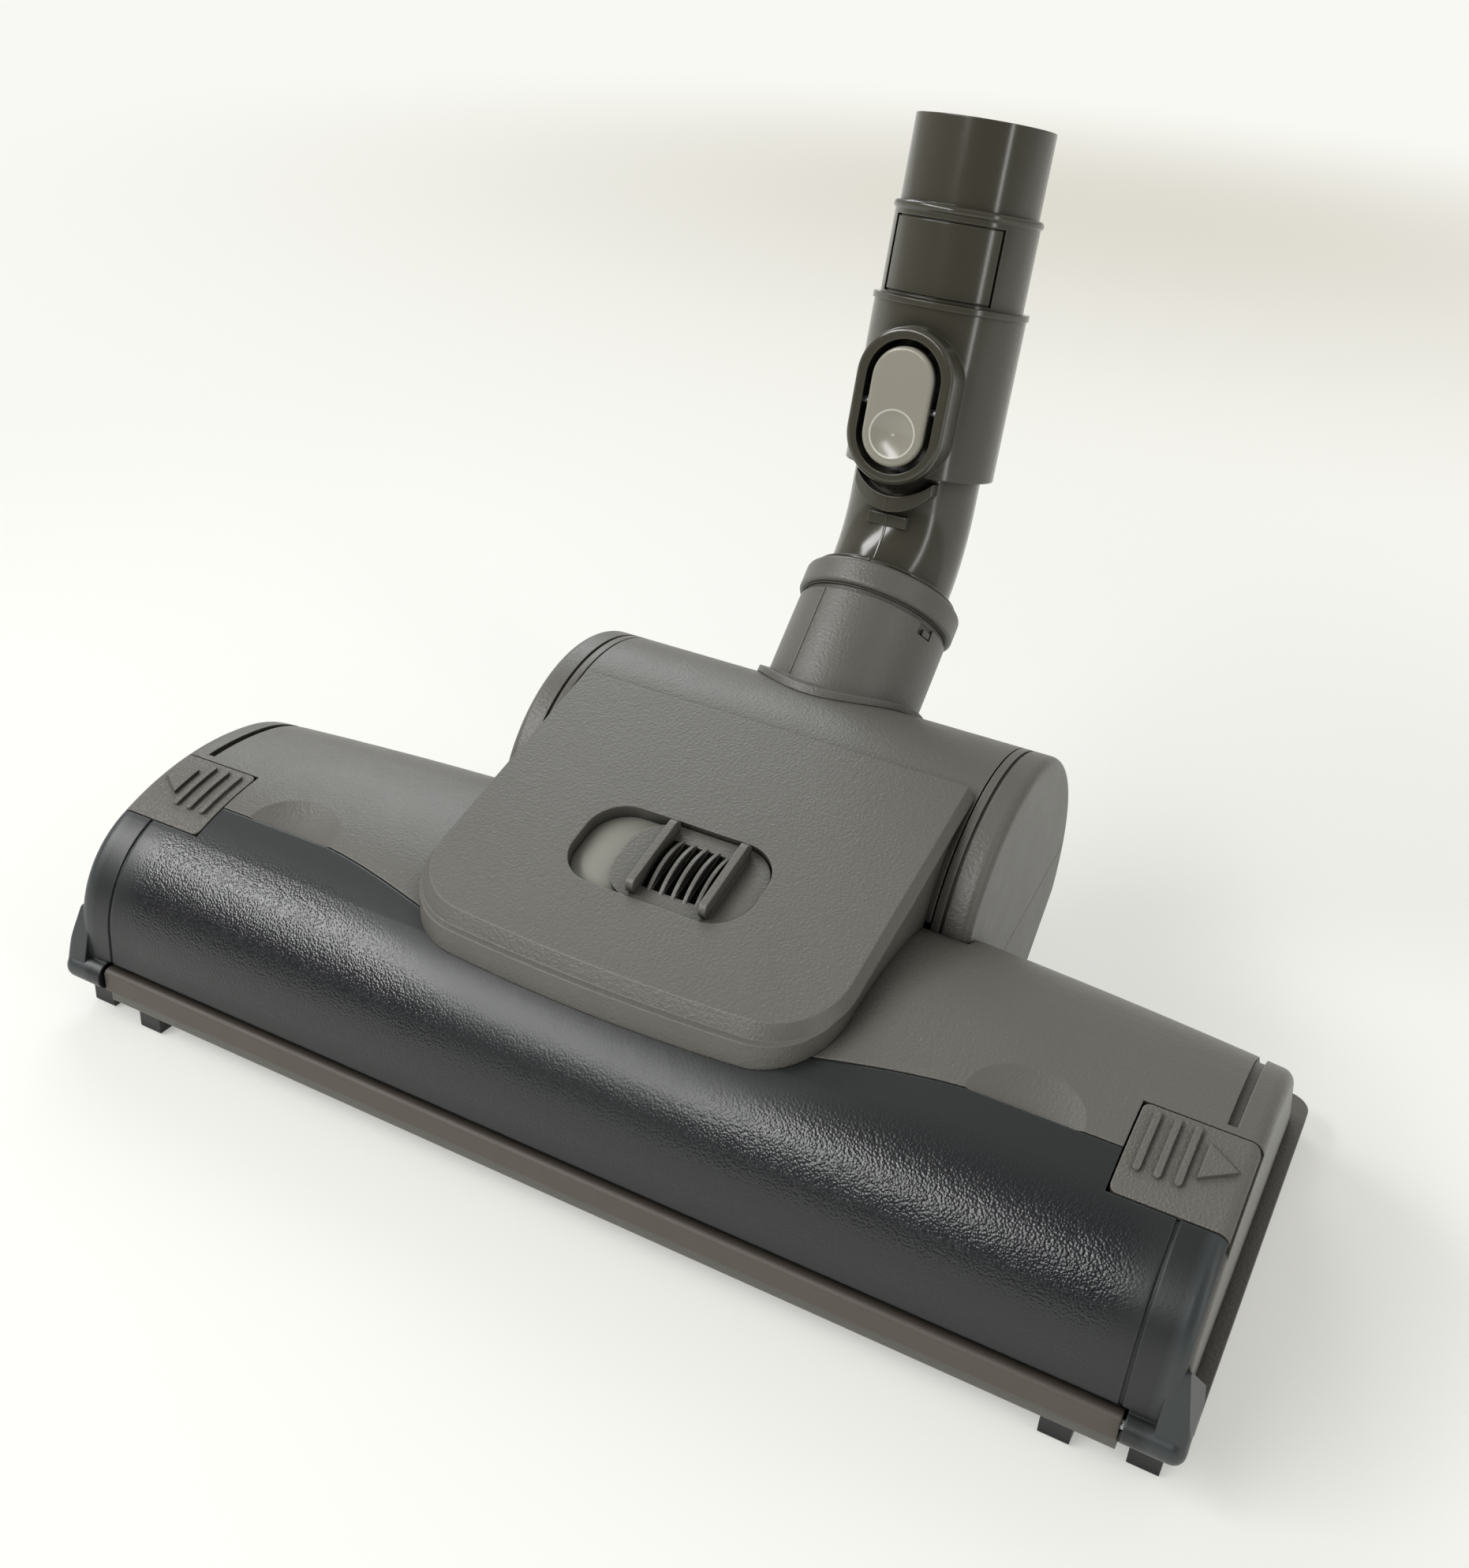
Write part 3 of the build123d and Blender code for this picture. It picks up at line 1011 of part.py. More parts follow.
def build_sleeve():
    """Sleeve with the oval boss, the button's well and the pin holes."""
    sleeve = upper_rod(SLEEVE_R, SLEEVE_START, SLEEVE_END)
    sleeve += upper_rod(SLEEVE_R + 0.5, SLEEVE_END - 1.5, SLEEVE_END)
    boss = front_slot(BOSS_LENGTH, BOSS_WIDTH, 8, BOSS_FACE, BOSS_MIDDLE)
    sleeve += fillet(boss.faces().sort_by(front_axis())[-1].edges(), 1.2)
    sleeve -= upper_rod(TUBE_R + SEAT, TUBE_START, 100)
    sleeve -= upper_rod(ELBOW_R + SEAT, 0, 100)
    well = front_slot(BUTTON_LENGTH + 2 * WELL_GAP, BUTTON_WIDTH + 2 * WELL_GAP, 0, 40, BUTTON_MIDDLE)
    return sleeve - well - button_pin(PRESS)


def front_axis():
    """Axis that points forward off the upper tube."""
    plane = front_plane(0, 0)
    return Axis(plane.origin, plane.z_dir)


def button_pin(grow=0.0):
    """The button's rocker pin, across the boss."""
    pin = Rot(0, 90, 0) * Cylinder(BUTTON_PIN_R + grow, BOSS_WIDTH - 2 * THIN_WALL)
    return front_plane(BUTTON_PIN_DEPTH, BUTTON_MIDDLE) * pin


def build_button():
    """Rocking release button with a round dimple, pin lug and hook."""
    face = BOSS_FACE + BUTTON_PROUD
    back = face - BUTTON_THICKNESS
    button = front_slot(BUTTON_LENGTH, BUTTON_WIDTH, back, face, BUTTON_MIDDLE)
    button = fillet(button.faces().sort_by(front_axis())[-1].edges(), 1.0)
    depth = 1.1
    radius = (DIMPLE_R ** 2 + depth ** 2) / (2 * depth)
    dimple_at = BUTTON_MIDDLE - BUTTON_LENGTH / 2 + BUTTON_WIDTH / 2
    button -= front_plane(face + radius - depth, dimple_at) * Sphere(radius)
    lug = front_plane(BUTTON_PIN_DEPTH, BUTTON_MIDDLE) * Rot(0, 90, 0) * Cylinder(2.0, BUTTON_WIDTH - 4)
    lug += front_block(BUTTON_WIDTH - 4, 3, BUTTON_PIN_DEPTH, back + 0.5, BUTTON_MIDDLE)
    hook = front_block(HOOK_WIDTH, HOOK_HEIGHT, HOOK_DEPTH, back + 0.5, HOOK_AT)
    return button + lug + hook - button_pin(RUN)


def build_tube():
    """Upper tube with the front panel's lines, a bead and the open end."""
    tube = upper_rod(TUBE_R, TUBE_START + SEAT, BEAD_AT) + upper_rod(RIM_R, BEAD_AT, RIM_END)
    bead = upper_rod(BEAD_R, BEAD_AT - 1.1, BEAD_AT + 1.1)
    tube += fillet(bead.edges().filter_by(GeomType.CIRCLE), 1.0)
    panel_at, panel_length = (BEAD_AT + SLEEVE_END) / 2 - 0.8, BEAD_AT - SLEEVE_END - 3
    panel = front_block(PANEL_WIDTH, panel_length, 0, 40, panel_at)
    line = panel - front_block(PANEL_WIDTH - 1, panel_length - 1, -1, 41, panel_at)
    tube -= line - upper_rod(TUBE_R - 0.6, 0, 200)
    tube -= panel - upper_rod(TUBE_R - 0.2, 0, 200)
    tube -= upper_rod(HOSE_BORE, 0, 200) + upper_rod(ELBOW_R + SEAT, 0, SPIGOT_END + SEAT)
    return tube - front_block(HOOK_WIDTH + 1, HOOK_HEIGHT + 3, 10, 30, HOOK_AT)


def build_button_spring():
    """Small coil between the button's lower half and the tube below it."""
    low, high = ELBOW_R + 1.2, BOSS_FACE + BUTTON_PROUD - BUTTON_THICKNESS - SEAT
    return front_plane(low, BUTTON_MIDDLE - 8) * coil(2.2, 0.35, high - low, 3)


# Sole plate, feet, rollers and screws

def brush_opening():
    """Plan of the brush opening in the sole and the tray."""
    return plan_rectangle(-CHAMBER_HALF, CHAMBER_HALF, BRUSH_Y - BRISTLE_R - 0.6, CHAMBER_REAR_Y - SKIN, 2.0)


def build_sole():
    """Base plate with the brush opening, the drum's bay, the side ledges and the axle ears."""
    half = [(0, SOLE_FRONT_Y), (STRIP_HALF, SOLE_FRONT_Y), (STRIP_HALF, SOLE_FRONT_Y + 2),
            (HALF_LENGTH, SOLE_FRONT_Y + 2), (HALF_LENGTH, LEDGE_FRONT_Y + LEDGE_SLANT),
            (SOLE_HALF, LEDGE_FRONT_Y), (SOLE_HALF, SOLE_REAR_Y), (0, SOLE_REAR_Y)]
    face = make_face(Polyline(*half, close=True))
    corner = face.vertices().filter_by(lambda v: v.X > HALF_LENGTH and v.Y > SOLE_REAR_Y - 1)
    plate = prism_z(fillet(corner, SOLE_CORNER_R), SOLE_Z, BASE_Z)
    plate = plate + mirrored(plate)
    plate -= prism_z(brush_opening(), 0, FAR)
    plate -= slab(-CAP_HALF - SEAM, CAP_HALF + SEAM, DRUM_Y - DRUM_R / 2 - 3, FAR, 0, FAR)
    for side in (-1, 1):
        x = side * WHEEL_X
        well = WHEEL_WIDTH / 2 + SEAM
        plate -= slab(x - well, x + well, WHEEL_Y - WHEEL_R - 1, WHEEL_Y + WHEEL_R + 1, 0, 30)
        for ear_x in (x - well - THIN_WALL / 2, x + well + THIN_WALL / 2):
            half_ear = THIN_WALL / 2
            plate += slab(ear_x - half_ear, ear_x + half_ear, WHEEL_Y - 4, WHEEL_Y + 4, SOLE_Z, WHEEL_R + 4)
        plate -= axle(side, PRESS)
    for x, y in SCREW_SPOTS:
        plate -= Pos(x, y, SOLE_Z) * Cylinder(SCREW_HEAD_R + SEAT, 2 * SCREW_HEAD)
        plate -= Pos(x, y, BASE_Z) * Cylinder(SCREW_R + SEAT, 20)
    return plate


def axle(side, grow=0.0):
    """Steel axle of one rear roller."""
    reach = WHEEL_WIDTH / 2 + SEAM + THIN_WALL
    return rod_x(AXLE_R + grow, side * WHEEL_X - reach, side * WHEEL_X + reach, WHEEL_Y, WHEEL_R)


def build_wheel(side):
    """Rear roller with rounded edges."""
    half = WHEEL_WIDTH / 2
    wheel = rod_x(WHEEL_R, side * WHEEL_X - half, side * WHEEL_X + half, WHEEL_Y, WHEEL_R)
    wheel = fillet(wheel.edges().filter_by(GeomType.CIRCLE), 1.0)
    return wheel - axle(side, RUN)


def build_feet():
    """Four glide feet under the front edge."""
    front = SOLE_FRONT_Y + SEAM
    inner_x, outer_x = HALF_LENGTH - 23.7, HALF_LENGTH - 6.7
    feet = [slab(inner_x, inner_x + FOOT_WIDTH, front, front + FOOT_LENGTH, 0, SOLE_Z),
            slab(outer_x, outer_x + FOOT_WIDTH, front + 2, front + 2 * FOOT_LENGTH, 0, SOLE_Z)]
    feet = [fillet(f.edges().filter_by(lambda e: e.center().Z < 0.1), 0.8) for f in feet]
    return Compound(children=feet + [mirrored(f) for f in feet])


def build_lint_strips():
    """Two lint lifters under the sole behind the brush."""
    y0 = CHAMBER_REAR_Y + THIN_WALL
    strip = slab(LIFTER_X0, LIFTER_X1, y0, y0 + LIFTER_WIDTH, SOLE_Z - LIFTER_DEPTH, SOLE_Z)
    return Compound(children=[strip, mirrored(strip)])


def build_screws():
    """Six pan-head screws from below."""
    screws = []
    for x, y in SCREW_SPOTS:
        head = Pos(x, y, SOLE_Z + 0.4) * Cylinder(SCREW_HEAD_R, SCREW_HEAD - 0.4, align=UPRIGHT)
        reach = BOSS_Z + SCREW_GRIP - SOLE_Z - 2
        shank = Pos(x, y, SOLE_Z + 1) * Cylinder(SCREW_R - PRESS, reach, align=UPRIGHT)
        slot = Pos(x, y, SOLE_Z) * (Box(0.9, 3.4, 2) + Box(3.4, 0.9, 2))
        screws.append(head + shank - slot)
    return Compound(children=screws)


def all_nodes():
    """Every piece under its own name."""
    latch, spring, bush = build_latch(), build_latch_spring(), build_bush()
    brush_pulley = build_pulley(BRUSH_TEETH, BRUSH_Y, BRUSH_Z, PULLEY_SEAT_R + PRESS)
    rotor_pulley = build_pulley(ROTOR_TEETH, DRUM_Y, DRUM_Z, SHAFT_R + PRESS)
    bearing_x = CAP_HALF - BEARING_WIDTH - 1
    bearing = pipe_x(BEARING_R, SHAFT_R + RUN, bearing_x, bearing_x + BEARING_WIDTH, DRUM_Y, DRUM_Z)
    shaft_end = bearing_x + BEARING_WIDTH - SEAT
    pins = Compound(children=[hinge_pin(), mirrored(hinge_pin())])
    return {
        "upper_housing": build_upper_housing(),
        "lower_housing": build_lower_housing(),
        "sole_plate": build_sole(),
        "shield_plate": build_shield(),
        "air_valve_seat": build_valve_seat(),
        "air_slider": build_slider(),
        "window": build_window(),
        "window_pins": pins,
        "bumper_strip": build_bumper(),
        "latch_right": latch,
        "latch_left": mirrored(latch),
        "latch_spring_right": spring,
        "latch_spring_left": mirrored(spring),
        "drum_cap_right": build_cap(1),
        "drum_cap_left": build_cap(-1),
        "swivel_drum": build_drum(),
        "neck_tube": build_neck(),
        "collar_ring": build_collar(),
        "swivel_seal": build_seal(),
        "elbow_pipe": build_elbow(),
        "adaptor_sleeve": build_sleeve(),
        "adaptor_tube": build_tube(),
        "release_button": build_button(),
        "button_pin": button_pin(),
        "button_spring": build_button_spring(),
        "turbine_rotor": build_rotor(),
        "rotor_shaft": rod_x(SHAFT_R, -shaft_end, shaft_end, DRUM_Y, DRUM_Z),
        "rotor_pulley": rotor_pulley,
        "rotor_bearing_right": bearing,
        "rotor_bearing_left": mirrored(bearing),
        "drive_belt": build_belt(),
        "brush_bar": build_brush_bar(),
        "brush_pulley": brush_pulley,
        "bristle_rows": build_bristles(),
        "brush_bush_right": bush,
        "brush_bush_left": mirrored(bush),
        "rear_wheel_right": build_wheel(1),
        "rear_wheel_left": build_wheel(-1),
        "rear_axle_right": axle(1),
        "rear_axle_left": axle(-1),
        "front_feet": build_feet(),
        "lint_strips": build_lint_strips(),
        "housing_screws": build_screws(),
    }


def main():
    """Builds every piece, moves the whole part onto its origin and writes one file for each piece."""
    os.makedirs("parts", exist_ok=True)
    nodes = all_nodes()
    boxes = [shape.bounding_box() for shape in nodes.values()]
    front = min(b.min.Y for b in boxes)
    rear = max(b.max.Y for b in boxes)
    low = min(b.min.Z for b in boxes)
    print("moved by", -(front + rear) / 2, "in Y and", -low, "in Z")
    for name, shape in nodes.items():
        placed = Pos(0, -(front + rear) / 2, -low) * shape
        export_step(placed, f"parts/{name}.step")


main()
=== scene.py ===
import bpy
import numpy as np
from mathutils import Matrix, Vector


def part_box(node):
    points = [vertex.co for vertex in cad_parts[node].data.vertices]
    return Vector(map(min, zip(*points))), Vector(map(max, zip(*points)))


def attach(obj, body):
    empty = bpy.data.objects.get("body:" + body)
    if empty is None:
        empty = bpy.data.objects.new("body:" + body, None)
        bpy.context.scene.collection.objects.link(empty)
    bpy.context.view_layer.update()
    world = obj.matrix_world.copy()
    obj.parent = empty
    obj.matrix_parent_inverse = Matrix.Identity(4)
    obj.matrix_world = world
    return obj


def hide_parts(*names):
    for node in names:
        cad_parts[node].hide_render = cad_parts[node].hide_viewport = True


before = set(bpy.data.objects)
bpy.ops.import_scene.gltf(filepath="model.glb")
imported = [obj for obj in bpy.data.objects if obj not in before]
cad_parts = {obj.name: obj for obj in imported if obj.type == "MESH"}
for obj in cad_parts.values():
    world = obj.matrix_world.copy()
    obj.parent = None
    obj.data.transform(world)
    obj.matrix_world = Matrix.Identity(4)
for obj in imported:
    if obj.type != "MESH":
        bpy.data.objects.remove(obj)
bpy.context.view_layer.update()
MM = 0.001


# Housing shells, drum, caps, neck, shield and sole: one grade of warm grey ABS, injection moulded in
# spark-eroded tools, so it has a fine even grain and a low sheen. Edges are rounded by the tool and
# rubbed a little smoother where hands and furniture touch them; where they turn they are painted
# lighter, partly as that wear and partly as a painted highlight.
HOUSING_GREY = "#5e5d57"
ABS_IOR = 1.54


def colour(code):
    """Linear RGBA of an sRGB hex code: v / 12.92 up to 0.04045, ((v + 0.055) / 1.055) ^ 2.4 above."""
    values = [int(code[i:i + 2], 16) / 255 for i in (1, 3, 5)]
    return [v / 12.92 if v <= 0.04045 else ((v + 0.055) / 1.055) ** 2.4 for v in values] + [1.0]


def add(material, kind, settings=None, links=None):
    """Adds a node, with its sockets and options set and its inputs linked."""
    node = material.node_tree.nodes.new(kind)
    for key, value in (settings or {}).items():
        if isinstance(key, int) or key in node.inputs:
            node.inputs[key].default_value = value
        else:
            setattr(node, key, value)
    for key, source in (links or {}).items():
        material.node_tree.links.new(source, node.inputs[key])
    return node


def new_material(name, settings):
    """A material with one Principled shader that has these constant settings."""
    material = bpy.data.materials.new(name)
    material.use_nodes = True
    shader = material.node_tree.nodes["Principled BSDF"]
    for key, value in settings.items():
        shader.inputs[key].default_value = value
    return material, shader


# Dot product of the rounded normal with the plain one, where the turn starts and where it is full.
TURN_STARTS = 0.995
TURN_IS_FULL = 0.88


def rounded_edges(material, radius_mm):
    """Normal of an edge rounded by this radius, and how far it turns: 0 on the flat, 1 on the edge.

    Turn = the two normals' dot product, stretched from its start to where the turn is full."""
    edge = add(material, "ShaderNodeBevel", {"samples": 6, "Radius": radius_mm * MM})
    plain = add(material, "ShaderNodeNewGeometry")
    along = add(material, "ShaderNodeVectorMath", {"operation": "DOT_PRODUCT"},
                {0: edge.outputs["Normal"], 1: plain.outputs["Normal"]})
    turn = add(material, "ShaderNodeMapRange", {"From Min": TURN_STARTS, "From Max": TURN_IS_FULL},
               {"Value": along.outputs["Value"]})
    return edge.outputs["Normal"], turn.outputs["Result"]


# Painted shade: gaps and corners are darkened in colour and mirror level where little sky is open.
HOLLOW_SHADE_REACH_MM = 5.0
DARKEST_HOLLOW_SHADE = 0.15
SHADED_OPENNESS = 0.2
UNSHADED_OPENNESS = 0.9
UNSHADED_MIRROR = 0.5


def painted_hollow_shade(material, shader, plain_colour):
    """Painted shade in gaps and corners, by how open the sky is within its reach.

    Colour and mirror level are multiplied by the painted shade's value where it is 0.2 open, up to 1 at
    0.9."""
    hollow = add(material, "ShaderNodeAmbientOcclusion", {"samples": 4, "Distance": HOLLOW_SHADE_REACH_MM * MM})
    hollow_shade = add(material, "ShaderNodeMapRange",
               {"From Min": SHADED_OPENNESS, "From Max": UNSHADED_OPENNESS, "To Min": DARKEST_HOLLOW_SHADE},
               {"Value": hollow.outputs["AO"]})
    shade = add(material, "ShaderNodeMix", {"data_type": "RGBA", "blend_type": "MULTIPLY", 0: 1.0},
                {6: plain_colour, 7: hollow_shade.outputs["Result"]})
    mirror = add(material, "ShaderNodeMath", {"operation": "MULTIPLY", 1: UNSHADED_MIRROR},
                 {0: hollow_shade.outputs["Result"]})
    material.node_tree.links.new(shade.outputs[2], shader.inputs["Base Color"])
    material.node_tree.links.new(mirror.outputs[0], shader.inputs["Specular IOR Level"])


FLOW_MM = 22.0
RUB_MM = 9.0
RUB_SHARE = 0.12
# Edges that turn are lightened towards colour times the gain plus the lift: partly wear, partly a painted
# highlight.
WORN_AND_HIGHLIT_GAIN = 1.9
WORN_AND_HIGHLIT_LIFT = 0.01


def moulded_plastic(name, code, roughness, grain_mm=0.0, grain_depth_mm=0.0, mottle=0.06, edge_wear_and_highlight=0.6,
                    edge_mm=0.5):
    """Moulded thermoplastic: faint flow mottle, spark-eroded grain, round edges and rubbed sheen.

    Colour = the code times 1 +/- mottle by the flow's noise, lighter where edges turn by the wear and
    a painted highlight, and darker in hollows by a painted shade.
    Roughness = its mean times 1 +/- 0.12 by the rub's noise. Height = noise at the grain's size, which
    is drawn coarser than the real 0.1 mm, because that is too fine to show."""
    material, shader = new_material(name, {"IOR": ABS_IOR})
    place = add(material, "ShaderNodeTexCoord")
    normal, turn = rounded_edges(material, edge_mm)
    flow = add(material, "ShaderNodeTexNoise",
               {"Scale": 1 / (FLOW_MM * MM), "Detail": 3.0, "Roughness": 0.6},
               {"Vector": place.outputs["Object"]})
    base = colour(code)[:3]
    dark = [v * (1 - mottle) for v in base] + [1]
    light = [v * (1 + mottle) for v in base] + [1]
    # Wear and painted highlight on edges that turn.
    worn_and_highlit = [min(1.0, v * WORN_AND_HIGHLIT_GAIN + WORN_AND_HIGHLIT_LIFT) for v in base] + [1]
    tint = add(material, "ShaderNodeMix", {"data_type": "RGBA", 6: dark, 7: light},
               {0: flow.outputs["Fac"]})
    rubbed_and_highlit = add(material, "ShaderNodeMath", {"operation": "MULTIPLY", 1: edge_wear_and_highlight}, {0: turn})
    shade = add(material, "ShaderNodeMix", {"data_type": "RGBA", 7: worn_and_highlit},
                {0: rubbed_and_highlit.outputs[0], 6: tint.outputs[2]})
    # Painted shade in gaps and corners.
    painted_hollow_shade(material, shader, shade.outputs[2])
    rub = add(material, "ShaderNodeTexNoise", {"Scale": 1 / (RUB_MM * MM), "Detail": 2.0},
              {"Vector": place.outputs["Object"]})
    gloss = add(material, "ShaderNodeMapRange",
                {"To Min": roughness * (1 - RUB_SHARE), "To Max": roughness * (1 + RUB_SHARE)},
                {"Value": rub.outputs["Fac"]})
    material.node_tree.links.new(gloss.outputs["Result"], shader.inputs["Roughness"])
    if grain_mm:
        grain = add(material, "ShaderNodeTexNoise",
                    {"Scale": 1 / (grain_mm * MM), "Detail": 2.0, "Roughness": 0.6},
                    {"Vector": place.outputs["Object"]})
        bump = add(material, "ShaderNodeBump", {"Strength": 1.0, "Distance": grain_depth_mm * MM},
                   {"Height": grain.outputs["Fac"], "Normal": normal})
        normal = bump.outputs["Normal"]
    material.node_tree.links.new(normal, shader.inputs["Normal"])
    return material


def dress(material, *names):
    """Gives CAD nodes a material."""
    for name in names:
        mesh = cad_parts[name].data
        mesh.materials.clear()
        mesh.materials.append(material)


dress(moulded_plastic("Housing ABS, warm grey, spark-eroded grain", HOUSING_GREY, roughness=0.4,
                      grain_mm=0.7, grain_depth_mm=0.16),
      "upper_housing", "lower_housing", "shield_plate", "drum_cap_left", "drum_cap_right",
      "swivel_drum", "neck_tube", "collar_ring", "air_slider", "sole_plate")


# Latch tiles: the same ABS with a coarser leather grain for grip. The grain is cells about a
# millimetre across with soft valleys between them, as etched tools give.
LATCH_GREY = "#605e58"
CELL_MM = 1.0
CELL_DEPTH_MM = 0.08
VALLEY = 0.35
WARP_MM = 2.2
WARP_SHIFT_MM = 1.2


def leather_plastic():
    """Moulded plastic with leather cells. Height = a smooth step of the distance to the cell's wall.

    The cells are warped by a noise of the warp's size, which shifts them by up to 1.2 mm."""
    material = moulded_plastic("Latch ABS, warm grey, leather grain", LATCH_GREY, roughness=0.45, edge_wear_and_highlight=0.3)
    shader = material.node_tree.nodes["Principled BSDF"]
    place = add(material, "ShaderNodeTexCoord")
    warp = add(material, "ShaderNodeTexNoise", {"Scale": 1 / (WARP_MM * MM), "Detail": 1.0},
               {"Vector": place.outputs["Object"]})
    shift = add(material, "ShaderNodeVectorMath", {"operation": "SCALE", "Scale": WARP_SHIFT_MM * MM},
                {0: warp.outputs["Color"]})
    moved = add(material, "ShaderNodeVectorMath", {"operation": "ADD"},
                {0: place.outputs["Object"], 1: shift.outputs["Vector"]})
    cells = add(material, "ShaderNodeTexVoronoi",
                {"feature": "DISTANCE_TO_EDGE", "Scale": 1 / (CELL_MM * MM)},
                {"Vector": moved.outputs["Vector"]})
    soft = add(material, "ShaderNodeMapRange", {"From Max": VALLEY, "interpolation_type": "SMOOTHSTEP"},
               {"Value": cells.outputs["Distance"]})
    bump = add(material, "ShaderNodeBump", {"Strength": 1.0, "Distance": CELL_DEPTH_MM * MM},
               {"Height": soft.outputs["Result"],
                "Normal": shader.inputs["Normal"].links[0].from_socket})
    material.node_tree.links.new(bump.outputs["Normal"], shader.inputs["Normal"])
    return material


dress(leather_plastic(), "latch_left", "latch_right")


# Valve seat under the slider: a pale ABS plate with the air ports, clipped into the shield's cup. It
# is smoother than the shells, so it shines a little more.
dress(moulded_plastic("Valve seat ABS, pale grey", "#8b8b82", roughness=0.3, grain_mm=0.4,
                      grain_depth_mm=0.02), "air_valve_seat")


# Window: 2.2 mm smoky polycarbonate, moulded with a pebble grain on its middle and a smooth border.
# It lets a little light in, and its solid end bands look clearer than the field.
SMOKE = "#13161b"
CLEARER_SMOKE = "#15191b"
END_SMOKE_AND_EDGE_HIGHLIGHT = "#343b3c"
WINDOW_IOR = 1.585
CLEARNESS = 0.3
PEBBLE_MM = 0.55
PEBBLE_DEPTH_MM = 0.09
PEBBLE_ROUGHNESS = 0.27
BORDER_ROUGHNESS = 0.4
BORDER_GRAIN = 0.12
WINDOW_EDGE_MM = 0.6
# Where the pebble field fades out: towards each end, below the seam and above the foot.
PEBBLE_END_MM = (116.5, 124.5)
BELOW_SEAM_MM = 7.0
FOOT_MM = (19.0, 21.5)
BAND_START_MM = (130.5, 132.5)
# The frame's origin lies this far behind the head's front, from which the seam's y is measured.
HEAD_FRONT_MM = 102.71
SEAM_X_MM = (18.0, 79.6)
SEAM_Y_MM = (9.5, 21.5)


def smoky_window():
    """Smoke-tinted plastic. Height = smooth cells of the pebble's size, times a mask.

    The mask is 1 in the pebble field and 0 on the border along the ends, the seam and the foot, where
    0.12 of the height stays. The seam's line is a smooth step from y = 9.5 mm in the middle to 21.5 mm
    at x = 79.6 mm. The tint is clearer on the border, and clearest in the end bands; where edges turn
    it is lightened to the same clearest tint as a painted highlight."""
    material, shader = new_material("Window polycarbonate, smoke tint, pebbled",
                                    {"IOR": WINDOW_IOR, "Transmission Weight": CLEARNESS})
    place = add(material, "ShaderNodeTexCoord")
    apart = add(material, "ShaderNodeSeparateXYZ", {}, {0: place.outputs["Object"]})
    side = add(material, "ShaderNodeMath", {"operation": "ABSOLUTE"}, {0: apart.outputs["X"]})
    ends = add(material, "ShaderNodeMapRange",
               {"From Min": PEBBLE_END_MM[0] * MM, "From Max": PEBBLE_END_MM[1] * MM,
                "To Min": 1.0, "To Max": 0.0}, {"Value": side.outputs[0]})
    seam = add(material, "ShaderNodeMapRange",
               {"interpolation_type": "SMOOTHSTEP",
                "From Min": SEAM_X_MM[0] * MM, "From Max": SEAM_X_MM[1] * MM,
                "To Min": (SEAM_Y_MM[0] - HEAD_FRONT_MM) * MM,
                "To Max": (SEAM_Y_MM[1] - HEAD_FRONT_MM) * MM}, {"Value": side.outputs[0]})
    ahead = add(material, "ShaderNodeMath", {"operation": "SUBTRACT"},
                {0: seam.outputs["Result"], 1: apart.outputs["Y"]})
    top = add(material, "ShaderNodeMapRange", {"From Min": 0.0, "From Max": BELOW_SEAM_MM * MM},
              {"Value": ahead.outputs[0]})
    foot = add(material, "ShaderNodeMapRange", {"From Min": FOOT_MM[0] * MM, "From Max": FOOT_MM[1] * MM},
               {"Value": apart.outputs["Z"]})
    both = add(material, "ShaderNodeMath", {"operation": "MULTIPLY"},
               {0: ends.outputs["Result"], 1: top.outputs["Result"]})
    mask = add(material, "ShaderNodeMath", {"operation": "MULTIPLY"},
               {0: both.outputs[0], 1: foot.outputs["Result"]})
    cells = add(material, "ShaderNodeTexVoronoi",
                {"feature": "SMOOTH_F1", "Scale": 1 / (PEBBLE_MM * MM), "Smoothness": 0.4},
                {"Vector": place.outputs["Object"]})
    share = add(material, "ShaderNodeMapRange", {"To Min": BORDER_GRAIN, "To Max": 1.0},
                {"Value": mask.outputs[0]})
    depth = add(material, "ShaderNodeMath", {"operation": "MULTIPLY"},
                {0: share.outputs["Result"], 1: cells.outputs["Distance"]})
    edge, turn = rounded_edges(material, WINDOW_EDGE_MM)
    bump = add(material, "ShaderNodeBump",
               {"Strength": 1.0, "Distance": PEBBLE_DEPTH_MM * MM, "invert": True},
               {"Height": depth.outputs[0], "Normal": edge})
    rough = add(material, "ShaderNodeMapRange", {"To Min": BORDER_ROUGHNESS, "To Max": PEBBLE_ROUGHNESS},
                {"Value": mask.outputs[0]})
    border = add(material, "ShaderNodeMix",
                 {"data_type": "RGBA", 6: colour(CLEARER_SMOKE), 7: colour(SMOKE)},
                 {0: mask.outputs[0]})
    band = add(material, "ShaderNodeMapRange",
               {"From Min": BAND_START_MM[0] * MM, "From Max": BAND_START_MM[1] * MM},
               {"Value": side.outputs[0]})
    # The end bands' clearer tint, and a painted highlight where edges turn.
    end_band_and_edge_highlight = add(material, "ShaderNodeMath", {"operation": "MAXIMUM"}, {0: band.outputs["Result"], 1: turn})
    tint_and_edge_highlight = add(material, "ShaderNodeMix", {"data_type": "RGBA", 7: colour(END_SMOKE_AND_EDGE_HIGHLIGHT)},
                {0: end_band_and_edge_highlight.outputs[0], 6: border.outputs[2]})
    # Painted shade in the window's gaps and corners.
    painted_hollow_shade(material, shader, tint_and_edge_highlight.outputs[2])
    material.node_tree.links.new(bump.outputs["Normal"], shader.inputs["Normal"])
    material.node_tree.links.new(rough.outputs["Result"], shader.inputs["Roughness"])
    return material


dress(smoky_window(), "window")


